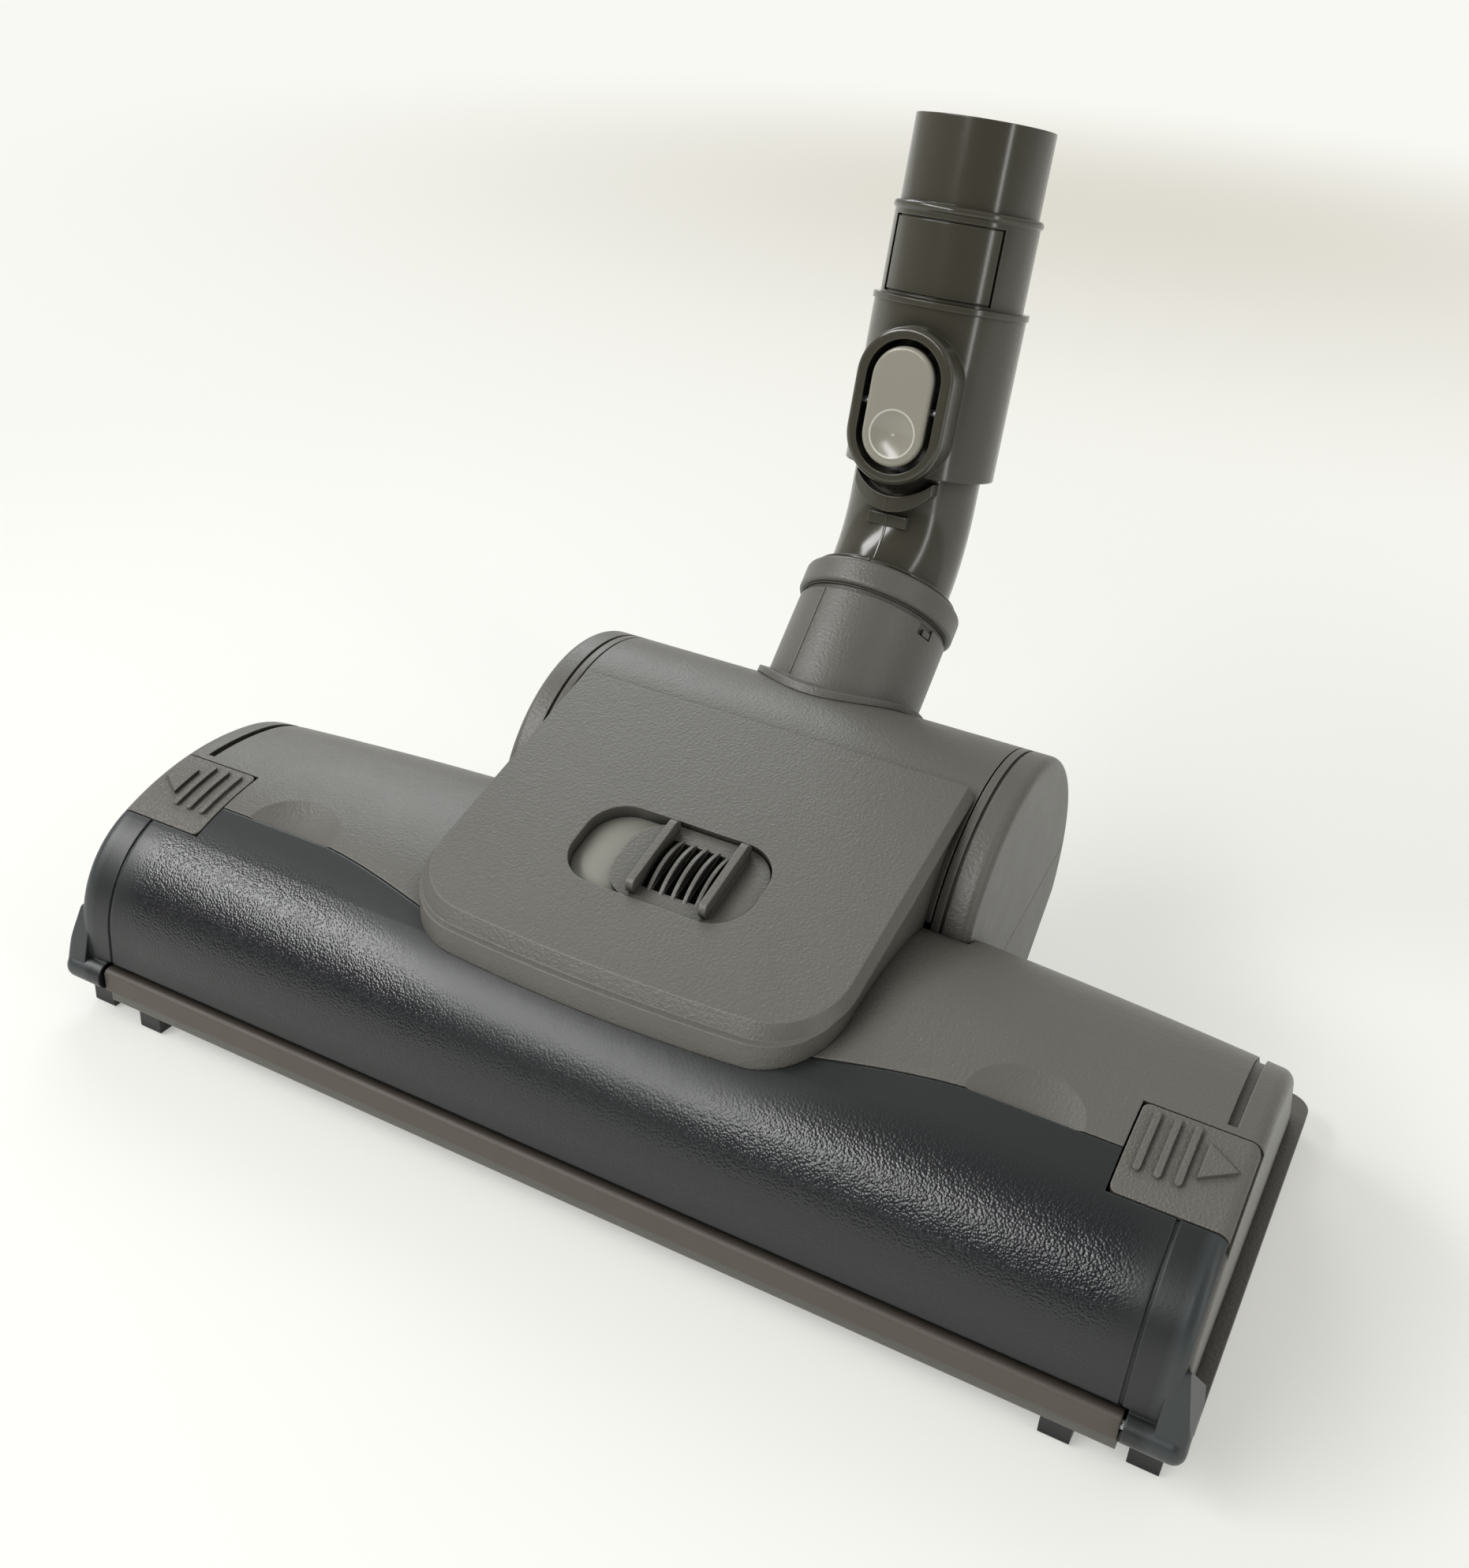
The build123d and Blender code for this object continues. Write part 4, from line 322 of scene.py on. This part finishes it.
# Bumper strip: brown-grey thermoplastic rubber, pushed on along the front edge. It is matt and dry,
# so it takes hardly any sheen.
dress(moulded_plastic("Bumper rubber, brown grey", "#4f4841", roughness=0.55, grain_mm=0.4,
                      grain_depth_mm=0.03, edge_wear_and_highlight=0.15), "bumper_strip")


# Feet, rollers, brush bar and pulleys: moulded in black POM and ABS, which wear well. They are plain
# and satin, with hardly any grain.
dress(moulded_plastic("Foot plastic, black", "#1c1c1e", roughness=0.42, grain_mm=0.4,
                      grain_depth_mm=0.03, edge_wear_and_highlight=0.2),
      "front_feet", "rear_wheel_left", "rear_wheel_right", "brush_bar", "brush_pulley", "rotor_pulley")


# Elbow, sleeve and adaptor tube: olive-grey ABS from polished tools, so it is glossy and shows
# streaks of the lights along the tube. The elbow's two tool halves leave a fine raised seam line.
ELBOW_OLIVE = "#403e34"
POLISHED = 0.16
ELBOW_MOTTLE = 0.04
SEAM_HEIGHT_MM = 0.05
SEAM_TOP_MM = 0.05
SEAM_SIDE_MM = 0.4


def elbow_plastic():
    """The polished ABS with a seam along x = 0. Height = a smooth step of |x| from the side to the top."""
    material = moulded_plastic("Elbow ABS, olive grey, with mould seam", ELBOW_OLIVE, POLISHED,
                               mottle=ELBOW_MOTTLE)
    shader = material.node_tree.nodes["Principled BSDF"]
    place = add(material, "ShaderNodeTexCoord")
    apart = add(material, "ShaderNodeSeparateXYZ", {}, {0: place.outputs["Object"]})
    side = add(material, "ShaderNodeMath", {"operation": "ABSOLUTE"}, {0: apart.outputs["X"]})
    ridge = add(material, "ShaderNodeMapRange",
                {"interpolation_type": "SMOOTHSTEP",
                 "From Min": SEAM_SIDE_MM * MM, "From Max": SEAM_TOP_MM * MM}, {"Value": side.outputs[0]})
    bump = add(material, "ShaderNodeBump", {"Strength": 1.0, "Distance": SEAM_HEIGHT_MM * MM},
               {"Height": ridge.outputs["Result"],
                "Normal": shader.inputs["Normal"].links[0].from_socket})
    material.node_tree.links.new(bump.outputs["Normal"], shader.inputs["Normal"])
    return material


dress(elbow_plastic(), "elbow_pipe")
dress(moulded_plastic("Adaptor ABS, olive grey, polished", ELBOW_OLIVE, POLISHED, mottle=ELBOW_MOTTLE),
      "adaptor_sleeve", "adaptor_tube")


# Release button: paler grey-green ABS with a satin top. Its edge is painted lighter, partly as thumbs'
# polish and partly as a highlight, and a painted highlight draws a bright ring round the dimple's rim.
BUTTON_GREEN = "#918e82"
RIM_HIGHLIGHT_GREY = "#dad8cd"
RIM_HIGHLIGHT_SHARE = 0.65
RIM_CORE_MM = 0.05
RIM_REACH_MM = 0.35
DIMPLE_R_MM = 5.9
# Middle of the dimple in metres, and the way up along the tube.
DIMPLE_PLACE = (0.0, 0.07272, 0.13376)
TUBE_DIRECTION = (0.0, 0.1857, 0.9826)


def button_plastic():
    """Satin ABS with a painted highlight ring: full within 0.05 mm of the dimple's rim, and gone at 0.35
    mm.

    The distance from the rim = |length of (x, height along the tube) from the middle - its radius|."""
    material = moulded_plastic("Button ABS, grey green, satin", BUTTON_GREEN, roughness=0.2, mottle=0.05,
                               edge_wear_and_highlight=0.9, edge_mm=0.7)
    shader = material.node_tree.nodes["Principled BSDF"]
    place = add(material, "ShaderNodeTexCoord")
    off = add(material, "ShaderNodeVectorMath", {"operation": "SUBTRACT", 1: DIMPLE_PLACE},
              {0: place.outputs["Object"]})
    up = add(material, "ShaderNodeVectorMath", {"operation": "DOT_PRODUCT", 1: TUBE_DIRECTION},
             {0: off.outputs["Vector"]})
    apart = add(material, "ShaderNodeSeparateXYZ", {}, {0: off.outputs["Vector"]})
    flat = add(material, "ShaderNodeCombineXYZ", {}, {0: apart.outputs["X"], 1: up.outputs["Value"]})
    away = add(material, "ShaderNodeVectorMath", {"operation": "LENGTH"}, {0: flat.outputs[0]})
    rim = add(material, "ShaderNodeMath", {"operation": "SUBTRACT", 1: DIMPLE_R_MM * MM},
              {0: away.outputs["Value"]})
    near = add(material, "ShaderNodeMath", {"operation": "ABSOLUTE"}, {0: rim.outputs[0]})
    # Painted highlight: a bright ring round the dimple's rim.
    ring = add(material, "ShaderNodeMapRange",
               {"interpolation_type": "SMOOTHSTEP", "From Min": RIM_REACH_MM * MM,
                "From Max": RIM_CORE_MM * MM, "To Max": RIM_HIGHLIGHT_SHARE}, {"Value": near.outputs[0]})
    shade = add(material, "ShaderNodeMix", {"data_type": "RGBA", 7: colour(RIM_HIGHLIGHT_GREY)},
                {0: ring.outputs["Result"], 6: shader.inputs["Base Color"].links[0].from_socket})
    material.node_tree.links.new(shade.outputs[2], shader.inputs["Base Color"])
    return material


dress(button_plastic(), "release_button")


# Steel pins, springs, axles, shaft, bearings and screws: drawn wire and turned rod, zinc plated, with
# fine rings left by the turning tool and small dull patches in the plating.
ZINC = "#b9bbbd"
PATCH_MM = 1.5
ZINC_ROUGHNESS = (0.24, 0.42)
# Real rings are finer than this, which is as fine as can show. At scale 1 a band repeats every 0.314.
RING_MM = 0.25
RING_DEPTH_MM = 0.01
BAND_REPEAT = 0.314


def plated_steel():
    """Zinc on steel. Roughness = between its two values by the patches' noise. Height = rings along x."""
    material, shader = new_material("Steel, turned, zinc plated",
                                    {"Base Color": colour(ZINC), "Metallic": 1.0})
    place = add(material, "ShaderNodeTexCoord")
    patch = add(material, "ShaderNodeTexNoise", {"Scale": 1 / (PATCH_MM * MM), "Detail": 3.0},
                {"Vector": place.outputs["Object"]})
    dull = add(material, "ShaderNodeMapRange",
               {"To Min": ZINC_ROUGHNESS[0], "To Max": ZINC_ROUGHNESS[1]}, {"Value": patch.outputs["Fac"]})
    rings = add(material, "ShaderNodeTexWave",
                {"wave_type": "BANDS", "bands_direction": "X",
                 "Scale": BAND_REPEAT / (RING_MM * MM), "Distortion": 0.4},
                {"Vector": place.outputs["Object"]})
    bump = add(material, "ShaderNodeBump", {"Strength": 0.4, "Distance": RING_DEPTH_MM * MM},
               {"Height": rings.outputs["Fac"]})
    material.node_tree.links.new(dull.outputs["Result"], shader.inputs["Roughness"])
    material.node_tree.links.new(bump.outputs["Normal"], shader.inputs["Normal"])
    return material


dress(plated_steel(), "window_pins", "latch_spring_left", "latch_spring_right", "button_pin",
      "button_spring", "rotor_shaft", "rotor_bearing_left", "rotor_bearing_right", "rear_axle_left",
      "rear_axle_right", "housing_screws")


# Turbine wheel and brush bushes: moulded in natural POM, which slides well. It is milky white, slightly
# waxy and has no grain.
dress(moulded_plastic("Turbine POM, natural white", "#cfcdc4", roughness=0.36, mottle=0.03),
      "turbine_rotor", "brush_bush_left", "brush_bush_right")


# Belt and felt seal: the belt is moulded rubber, dull and black. The seal is a ring cut from pressed
# felt, whose short fibres show as dark and light flecks.
dress(moulded_plastic("Belt rubber, black", "#1a1a1a", roughness=0.7, grain_mm=0.3, grain_depth_mm=0.03,
                      edge_wear_and_highlight=0.1), "drive_belt")
dress(moulded_plastic("Seal felt, dark grey", "#2c2b2a", roughness=0.95, grain_mm=0.25,
                      grain_depth_mm=0.12, mottle=0.3, edge_wear_and_highlight=0), "swivel_seal")


# Bristles: two helical rows of nylon tufts punched into the core, with a gap where the belt runs.
# A tuft is a bundle of straight filaments that fan out a little and are trimmed to the brush's round.
# In millimetres and degrees; the axis is given by its y, from the head's front, and its z.
BRUSH_AXIS = (29.2 - HEAD_FRONT_MM, 23.0)
CORE_R = 9.0
BRISTLE_R = 22.3
TUFT_REACH = 113.5
TUFTS_PER_ROW = 34
ROW_TWIST = 300
BELT_GAP = (-62.2, -52.6)
ROOT_DEPTH = 0.3
TUFT_R = 0.9
TUFT_TIP_R = 1.1
FAN = 0.45
UNEVEN_TRIM = 0.5
FILAMENTS = 44
# Real filaments are about 0.1 mm in radius: they are drawn thicker, and fewer, so that they show.
FILAMENT_R = 0.16
TAPER_START = 0.85
TAPER = 0.8
# A direction that no filament has, to get one square to it.
SKEW = [1.0, 0.3, 0.2]
TUFT_SEED = 7


def filaments(roots, tips, radius):
    """Three-sided tapering needles. Corner = root or the taper's start, plus the radius times two
    directions square to the needle at 0, 120 and 240 degrees; the tip itself is one point."""
    along = tips - roots
    length = np.linalg.norm(along, axis=1, keepdims=True)
    along = along / length
    side = np.cross(along, SKEW)
    side /= np.linalg.norm(side, axis=1, keepdims=True)
    other = np.cross(along, side)
    turns = np.radians([0, 120, 240])[None, :, None]
    ring = radius * (np.cos(turns) * side[:, None] + np.sin(turns) * other[:, None])
    low = roots[:, None] + ring
    high = roots[:, None] + TAPER_START * (tips - roots)[:, None] + TAPER * ring
    points = np.concatenate([low, high, tips[:, None]], axis=1)
    first = points.shape[1] * np.arange(len(roots))[:, None, None]
    i = np.arange(3)
    j = (i + 1) % 3
    quads = np.stack([i, j, j + 3, i + 3], axis=1)[None] + first
    caps = np.stack([i + 3, j + 3, 6 + 0 * i], axis=1)[None] + first
    foot = np.array([[2, 1, 0]])[None] + first
    faces = [*quads.reshape(-1, 4).tolist(), *caps.reshape(-1, 3).tolist(), *foot.reshape(-1, 3).tolist()]
    return points.reshape(-1, 3) * MM, faces


def new_piece(name, points, faces, material):
    """A mesh object at the origin from points in metres and faces."""
    mesh = bpy.data.meshes.new(name)
    mesh.from_pydata(points.tolist(), [], faces)
    mesh.materials.append(material)
    piece = bpy.data.objects.new(name, mesh)
    bpy.context.scene.collection.objects.link(piece)
    return piece


def brush_tufts():
    """Roots and tips of every filament. A tuft at x stands at the angle 180 * row + twist * x / length.

    A point on the brush's round = (x, axis y - radius * sin(angle), axis z + radius * cos(angle))."""
    rng = np.random.default_rng(TUFT_SEED)
    x = np.linspace(-TUFT_REACH, TUFT_REACH, TUFTS_PER_ROW)
    x = x[(x < BELT_GAP[0]) | (x > BELT_GAP[1])]
    x, row = [v.ravel() for v in np.meshgrid(x, [0, 1])]
    angle = np.radians(180 * row + ROW_TWIST * x / (2 * TUFT_REACH))
    spread = rng.uniform(-1, 1, (2, len(x), FILAMENTS))
    fan = rng.normal(0, FAN, (2, len(x), FILAMENTS))
    x, angle = x[:, None], angle[:, None]

    def on_round(radius, shift_x, shift_round):
        across = x + shift_x
        turn = angle + shift_round / radius
        return np.stack([across, BRUSH_AXIS[0] - radius * np.sin(turn),
                         BRUSH_AXIS[1] + radius * np.cos(turn)], axis=-1).reshape(-1, 3)

    roots = on_round(CORE_R - ROOT_DEPTH, TUFT_R * spread[0], TUFT_R * spread[1])
    trim = BRISTLE_R - rng.uniform(0, UNEVEN_TRIM, spread[0].shape)
    tips = on_round(trim, TUFT_TIP_R * spread[0] + fan[0], TUFT_TIP_R * spread[1] + fan[1])
    return roots, tips


nylon = moulded_plastic("Bristle nylon, black", "#1d1d1f", roughness=0.35, mottle=0.2, edge_wear_and_highlight=0.1)
bristles = new_piece("Brush_bristles", *filaments(*brush_tufts(), FILAMENT_R), nylon)
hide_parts("bristle_rows")
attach(bristles, "brush")


# Lint lifters: two strips of dark red velour glued under the sole behind the brush. The pile is short
# and stiff and leans back, so it picks up threads on the back stroke.
# In millimetres, but for the shares; the strips keep clear of the middle by the gap.
LIFTER_GAP = 45.0
BACKING = 0.5
PILE_PITCH = 0.55
PILE_JITTER = 0.2
PILE_MARGIN = 0.3
PILE_REAR_MARGIN = 0.5
PILE_SINK = 0.05
PILE_LEAN = 0.5
LEAST_LEAN_SHARE = 0.5
LEAST_LENGTH_SHARE = 0.8
PILE_SIDE_LEAN = 0.12
# Real pile is finer: it is drawn as thick as the bristles, so that it shows.
PILE_R = 0.16
PILE_SEED = 11
strip_low, strip_high = [np.array(corner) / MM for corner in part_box("lint_strips")]


def velour_pile():
    """Roots on a jittered grid over both strips, and tips lower by the pile's depth and leaning to +Y."""
    rng = np.random.default_rng(PILE_SEED)
    x, y = np.meshgrid(np.arange(LIFTER_GAP + PILE_MARGIN, strip_high[0] - PILE_MARGIN, PILE_PITCH),
                       np.arange(strip_low[1] + PILE_MARGIN, strip_high[1] - PILE_REAR_MARGIN, PILE_PITCH))
    x, y = [v.ravel() + rng.uniform(-PILE_JITTER, PILE_JITTER, v.size) for v in (x, y)]
    x = np.concatenate([x, -x])
    y = np.concatenate([y, y])
    roots = np.stack([x, y, np.full(x.shape, strip_high[2] - BACKING + PILE_SINK)], axis=1)
    depth = strip_high[2] - strip_low[2] - BACKING
    lean = np.stack([rng.normal(0, PILE_SIDE_LEAN, x.size),
                     PILE_LEAN * rng.uniform(LEAST_LEAN_SHARE, 1, x.size),
                     -depth * rng.uniform(LEAST_LENGTH_SHARE, 1, x.size)], axis=1)
    return roots, roots + lean


def strip_backing():
    """Two plain woven strips: boxes of the backing's thickness, from the gap to each end."""
    corner = np.array([[a, b, c] for a in (0, 1) for b in (0, 1) for c in (0, 1)], float)
    start = np.array([LIFTER_GAP, strip_low[1], strip_high[2] - BACKING])
    size = np.array([strip_high[0] - LIFTER_GAP, strip_high[1] - strip_low[1], BACKING])
    right_box = start + corner * size
    left_box = right_box * [-1, 1, 1]
    faces = [[0, 1, 3, 2], [4, 6, 7, 5], [0, 4, 5, 1], [2, 3, 7, 6], [0, 2, 6, 4], [1, 5, 7, 3]]
    flipped = [[len(corner) + i for i in reversed(face)] for face in faces]
    return np.concatenate([right_box, left_box]) * MM, faces + flipped


velour = moulded_plastic("Lint velour, dark red", "#6f211c", roughness=0.85, mottle=0.35, edge_wear_and_highlight=0)
pile, pile_faces = filaments(*velour_pile(), PILE_R)
backing, backing_faces = strip_backing()
lifter_faces = pile_faces + [[i + len(pile) for i in face] for face in backing_faces]
lifters = new_piece("Lint_velour", np.concatenate([pile, backing]), lifter_faces, velour)
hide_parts("lint_strips")
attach(lifters, "head")


# Floor: a flat sheet of matt white board, for one that runs up out of sight behind the head. Near the
# head it is plain board and takes its shadow; farther out it is lit as evenly as a photographer's
# backdrop.
BOARD_WHITE = "#f6f6f2"
BOARD_ROUGHNESS = 0.7
BACKDROP = "#f9f9f4"
DIM_BACKDROP = "#dedbd0"
# In metres: where the backdrop starts and is full, how much of it the board near the head has, and
# the middle and reach of the dimmer place.
BACKDROP_STARTS = 0.2
BACKDROP_IS_FULL = 0.6
NEAR_SHARE = 0.4
DIM_PLACE = (-0.28, 1.3)
DIM_REACH = 1.1
FLOOR_HALF = 9


def seamless_board():
    """Board near the head, even backdrop beyond it. Mix = 0.4 to 1 by a smooth step of the distance.

    The backdrop carries a painted shade round one place behind the neck, for where the sheet would curve
    away from the lights. It is mixed in only where it is seen directly, mirrored or through the window,
    so that the light which the board throws on the head stays the plain board's."""
    material, shader = new_material("Floor board, matt white",
                                    {"Base Color": colour(BOARD_WHITE), "Roughness": BOARD_ROUGHNESS})
    place = add(material, "ShaderNodeTexCoord")
    far = add(material, "ShaderNodeVectorMath", {"operation": "LENGTH"}, {0: place.outputs["Object"]})
    share = add(material, "ShaderNodeMapRange",
                {"interpolation_type": "SMOOTHSTEP", "From Min": BACKDROP_STARTS,
                 "From Max": BACKDROP_IS_FULL, "To Min": NEAR_SHARE}, {"Value": far.outputs["Value"]})
    rays = add(material, "ShaderNodeLightPath")
    seen = add(material, "ShaderNodeMath", {"operation": "MAXIMUM"},
               {0: rays.outputs["Is Camera Ray"], 1: rays.outputs["Is Glossy Ray"]})
    seen = add(material, "ShaderNodeMath", {"operation": "MAXIMUM"},
               {0: seen.outputs[0], 1: rays.outputs["Is Transmission Ray"]})
    mix = add(material, "ShaderNodeMath", {"operation": "MULTIPLY"},
              {0: share.outputs["Result"], 1: seen.outputs[0]})
    # Painted shade on the backdrop round one place behind the neck.
    off = add(material, "ShaderNodeVectorMath", {"operation": "SUBTRACT", 1: (*DIM_PLACE, 0)},
              {0: place.outputs["Object"]})
    away = add(material, "ShaderNodeVectorMath", {"operation": "LENGTH"}, {0: off.outputs["Vector"]})
    dim = add(material, "ShaderNodeMapRange",
              {"interpolation_type": "SMOOTHSTEP", "From Min": 0.0, "From Max": DIM_REACH},
              {"Value": away.outputs["Value"]})
    sheet = add(material, "ShaderNodeMix",
                {"data_type": "RGBA", 6: colour(DIM_BACKDROP), 7: colour(BACKDROP)},
                {0: dim.outputs["Result"]})
    glow = add(material, "ShaderNodeEmission", {"Strength": 1.0}, {"Color": sheet.outputs[2]})
    both = add(material, "ShaderNodeMixShader", {},
               {0: mix.outputs[0], 1: shader.outputs["BSDF"], 2: glow.outputs["Emission"]})
    output = material.node_tree.nodes["Material Output"]
    material.node_tree.links.new(both.outputs["Shader"], output.inputs["Surface"])
    return material


floor_corners = FLOOR_HALF * np.array([(-1, -1, 0), (1, -1, 0), (1, 1, 0), (-1, 1, 0)], float)
new_piece("Floor", floor_corners, [(0, 1, 2, 3)], seamless_board())


# Lights: a long ceiling light from the left to the front, which draws the bright line along the
# window's nose, a soft window light behind on the left, an upright strip on the right for the tube's
# streaks, and a pale room that is dimmer in front of the head.
def hang_light(name, size, power, matrix, tint="#ffffff"):
    """An area lamp of this size in metres and power in watts, with this place and turn."""
    lamp = bpy.data.lights.new(name, "AREA")
    lamp.shape = "RECTANGLE"
    lamp.size, lamp.size_y = size
    lamp.energy = power
    lamp.color = colour(tint)[:3]
    light = bpy.data.objects.new(name, lamp)
    light.matrix_world = matrix
    bpy.context.scene.collection.objects.link(light)


def soft_box(name, place, target, size, power, tint):
    """A lamp at a place whose -Z axis points at the target."""
    facing = (Vector(target) - Vector(place)).to_track_quat("-Z", "Y").to_matrix().to_4x4()
    hang_light(name, size, power, Matrix.Translation(place) @ facing, tint)


def strip_light(name, start, end, target, width, power):
    """A lamp between two points. Z = the way from the target, less its part along the strip."""
    start, end, target = Vector(start), Vector(end), Vector(target)
    along = (end - start).normalized()
    middle = (start + end) / 2
    away = middle - target
    away = (away - along * away.dot(along)).normalized()
    axes = Matrix((along, away.cross(along), away)).transposed().to_4x4()
    hang_light(name, ((end - start).length, width), power, Matrix.Translation(middle) @ axes)


strip_light("Ceiling light", start=(-0.95, -0.25, 0.95), end=(-0.25, -2.0, 0.95),
            target=(0, -0.06, 0.04), width=0.3, power=21.0)
soft_box("Window light", place=(-0.75, 0.85, 0.95), target=(0, 0, 0.03), size=(0.7, 0.5), power=5.0,
         tint="#f6faff")
strip_light("Wall light", start=(0.95, -0.5, 0.05), end=(0.85, -0.15, 1.0),
            target=(0.03, 0.05, 0.15), width=0.07, power=1.6)

ROOM_WHITE = "#fbf9f5"
ROOM_STRENGTH = 0.6
FRONT_SHARE = 0.15
FRONT_Y = -0.9
REAR_Y = 0.2


def pale_room():
    """Room light: dim towards the front y, full from the rear y on; seen directly it is the backdrop."""
    world = bpy.data.worlds.new("Room")
    world.use_nodes = True
    back = world.node_tree.nodes["Background"]
    back.inputs["Color"].default_value = colour(ROOM_WHITE)
    place = add(world, "ShaderNodeTexCoord")
    apart = add(world, "ShaderNodeSeparateXYZ", {}, {0: place.outputs["Generated"]})
    rear = add(world, "ShaderNodeMapRange",
               {"From Min": FRONT_Y, "From Max": REAR_Y,
                "To Min": FRONT_SHARE * ROOM_STRENGTH, "To Max": ROOM_STRENGTH},
               {"Value": apart.outputs["Y"]})
    sheet = add(world, "ShaderNodeBackground", {"Color": colour(BACKDROP)})
    rays = add(world, "ShaderNodeLightPath")
    mix = add(world, "ShaderNodeMixShader", {},
              {0: rays.outputs["Is Camera Ray"], 1: back.outputs[0], 2: sheet.outputs[0]})
    world.node_tree.links.new(rear.outputs["Result"], back.inputs["Strength"])
    world.node_tree.links.new(mix.outputs[0], world.node_tree.nodes["World Output"].inputs["Surface"])
    return world


bpy.context.scene.world = pale_room()
bpy.context.scene.view_settings.view_transform = "Standard"


# Camera: where the photograph was taken from, 0.43 m from the head, in front and to the right of its
# middle and looking down on it. Its axes and distance come from the head's straight edges and round
# ends. The frame is upright, so the sensor's width goes along its height.
LENS_PX = 2108.78
IMAGE_HEIGHT_PX = 1988
SENSOR = 36.0
CAMERA_PLACE_MM = (147.03, -331.073, 257.79)
IMAGE_RIGHT = (0.88077, 0.46773, 0.07394)
IMAGE_DOWN = (0.28296, -0.39464, -0.87418)
camera_data = bpy.data.cameras.new("Camera")
camera_data.sensor_width = SENSOR
camera_data.lens = LENS_PX / IMAGE_HEIGHT_PX * SENSOR
camera = bpy.data.objects.new("Camera", camera_data)
right = Vector(IMAGE_RIGHT).normalized()
forward = right.cross(Vector(IMAGE_DOWN)).normalized()
up = right.cross(forward).normalized()
camera_axes = Matrix((right, up, -forward)).transposed().to_4x4()
camera.matrix_world = Matrix.Translation(Vector(CAMERA_PLACE_MM) * MM) @ camera_axes
bpy.context.scene.collection.objects.link(camera)
bpy.context.scene.camera = camera
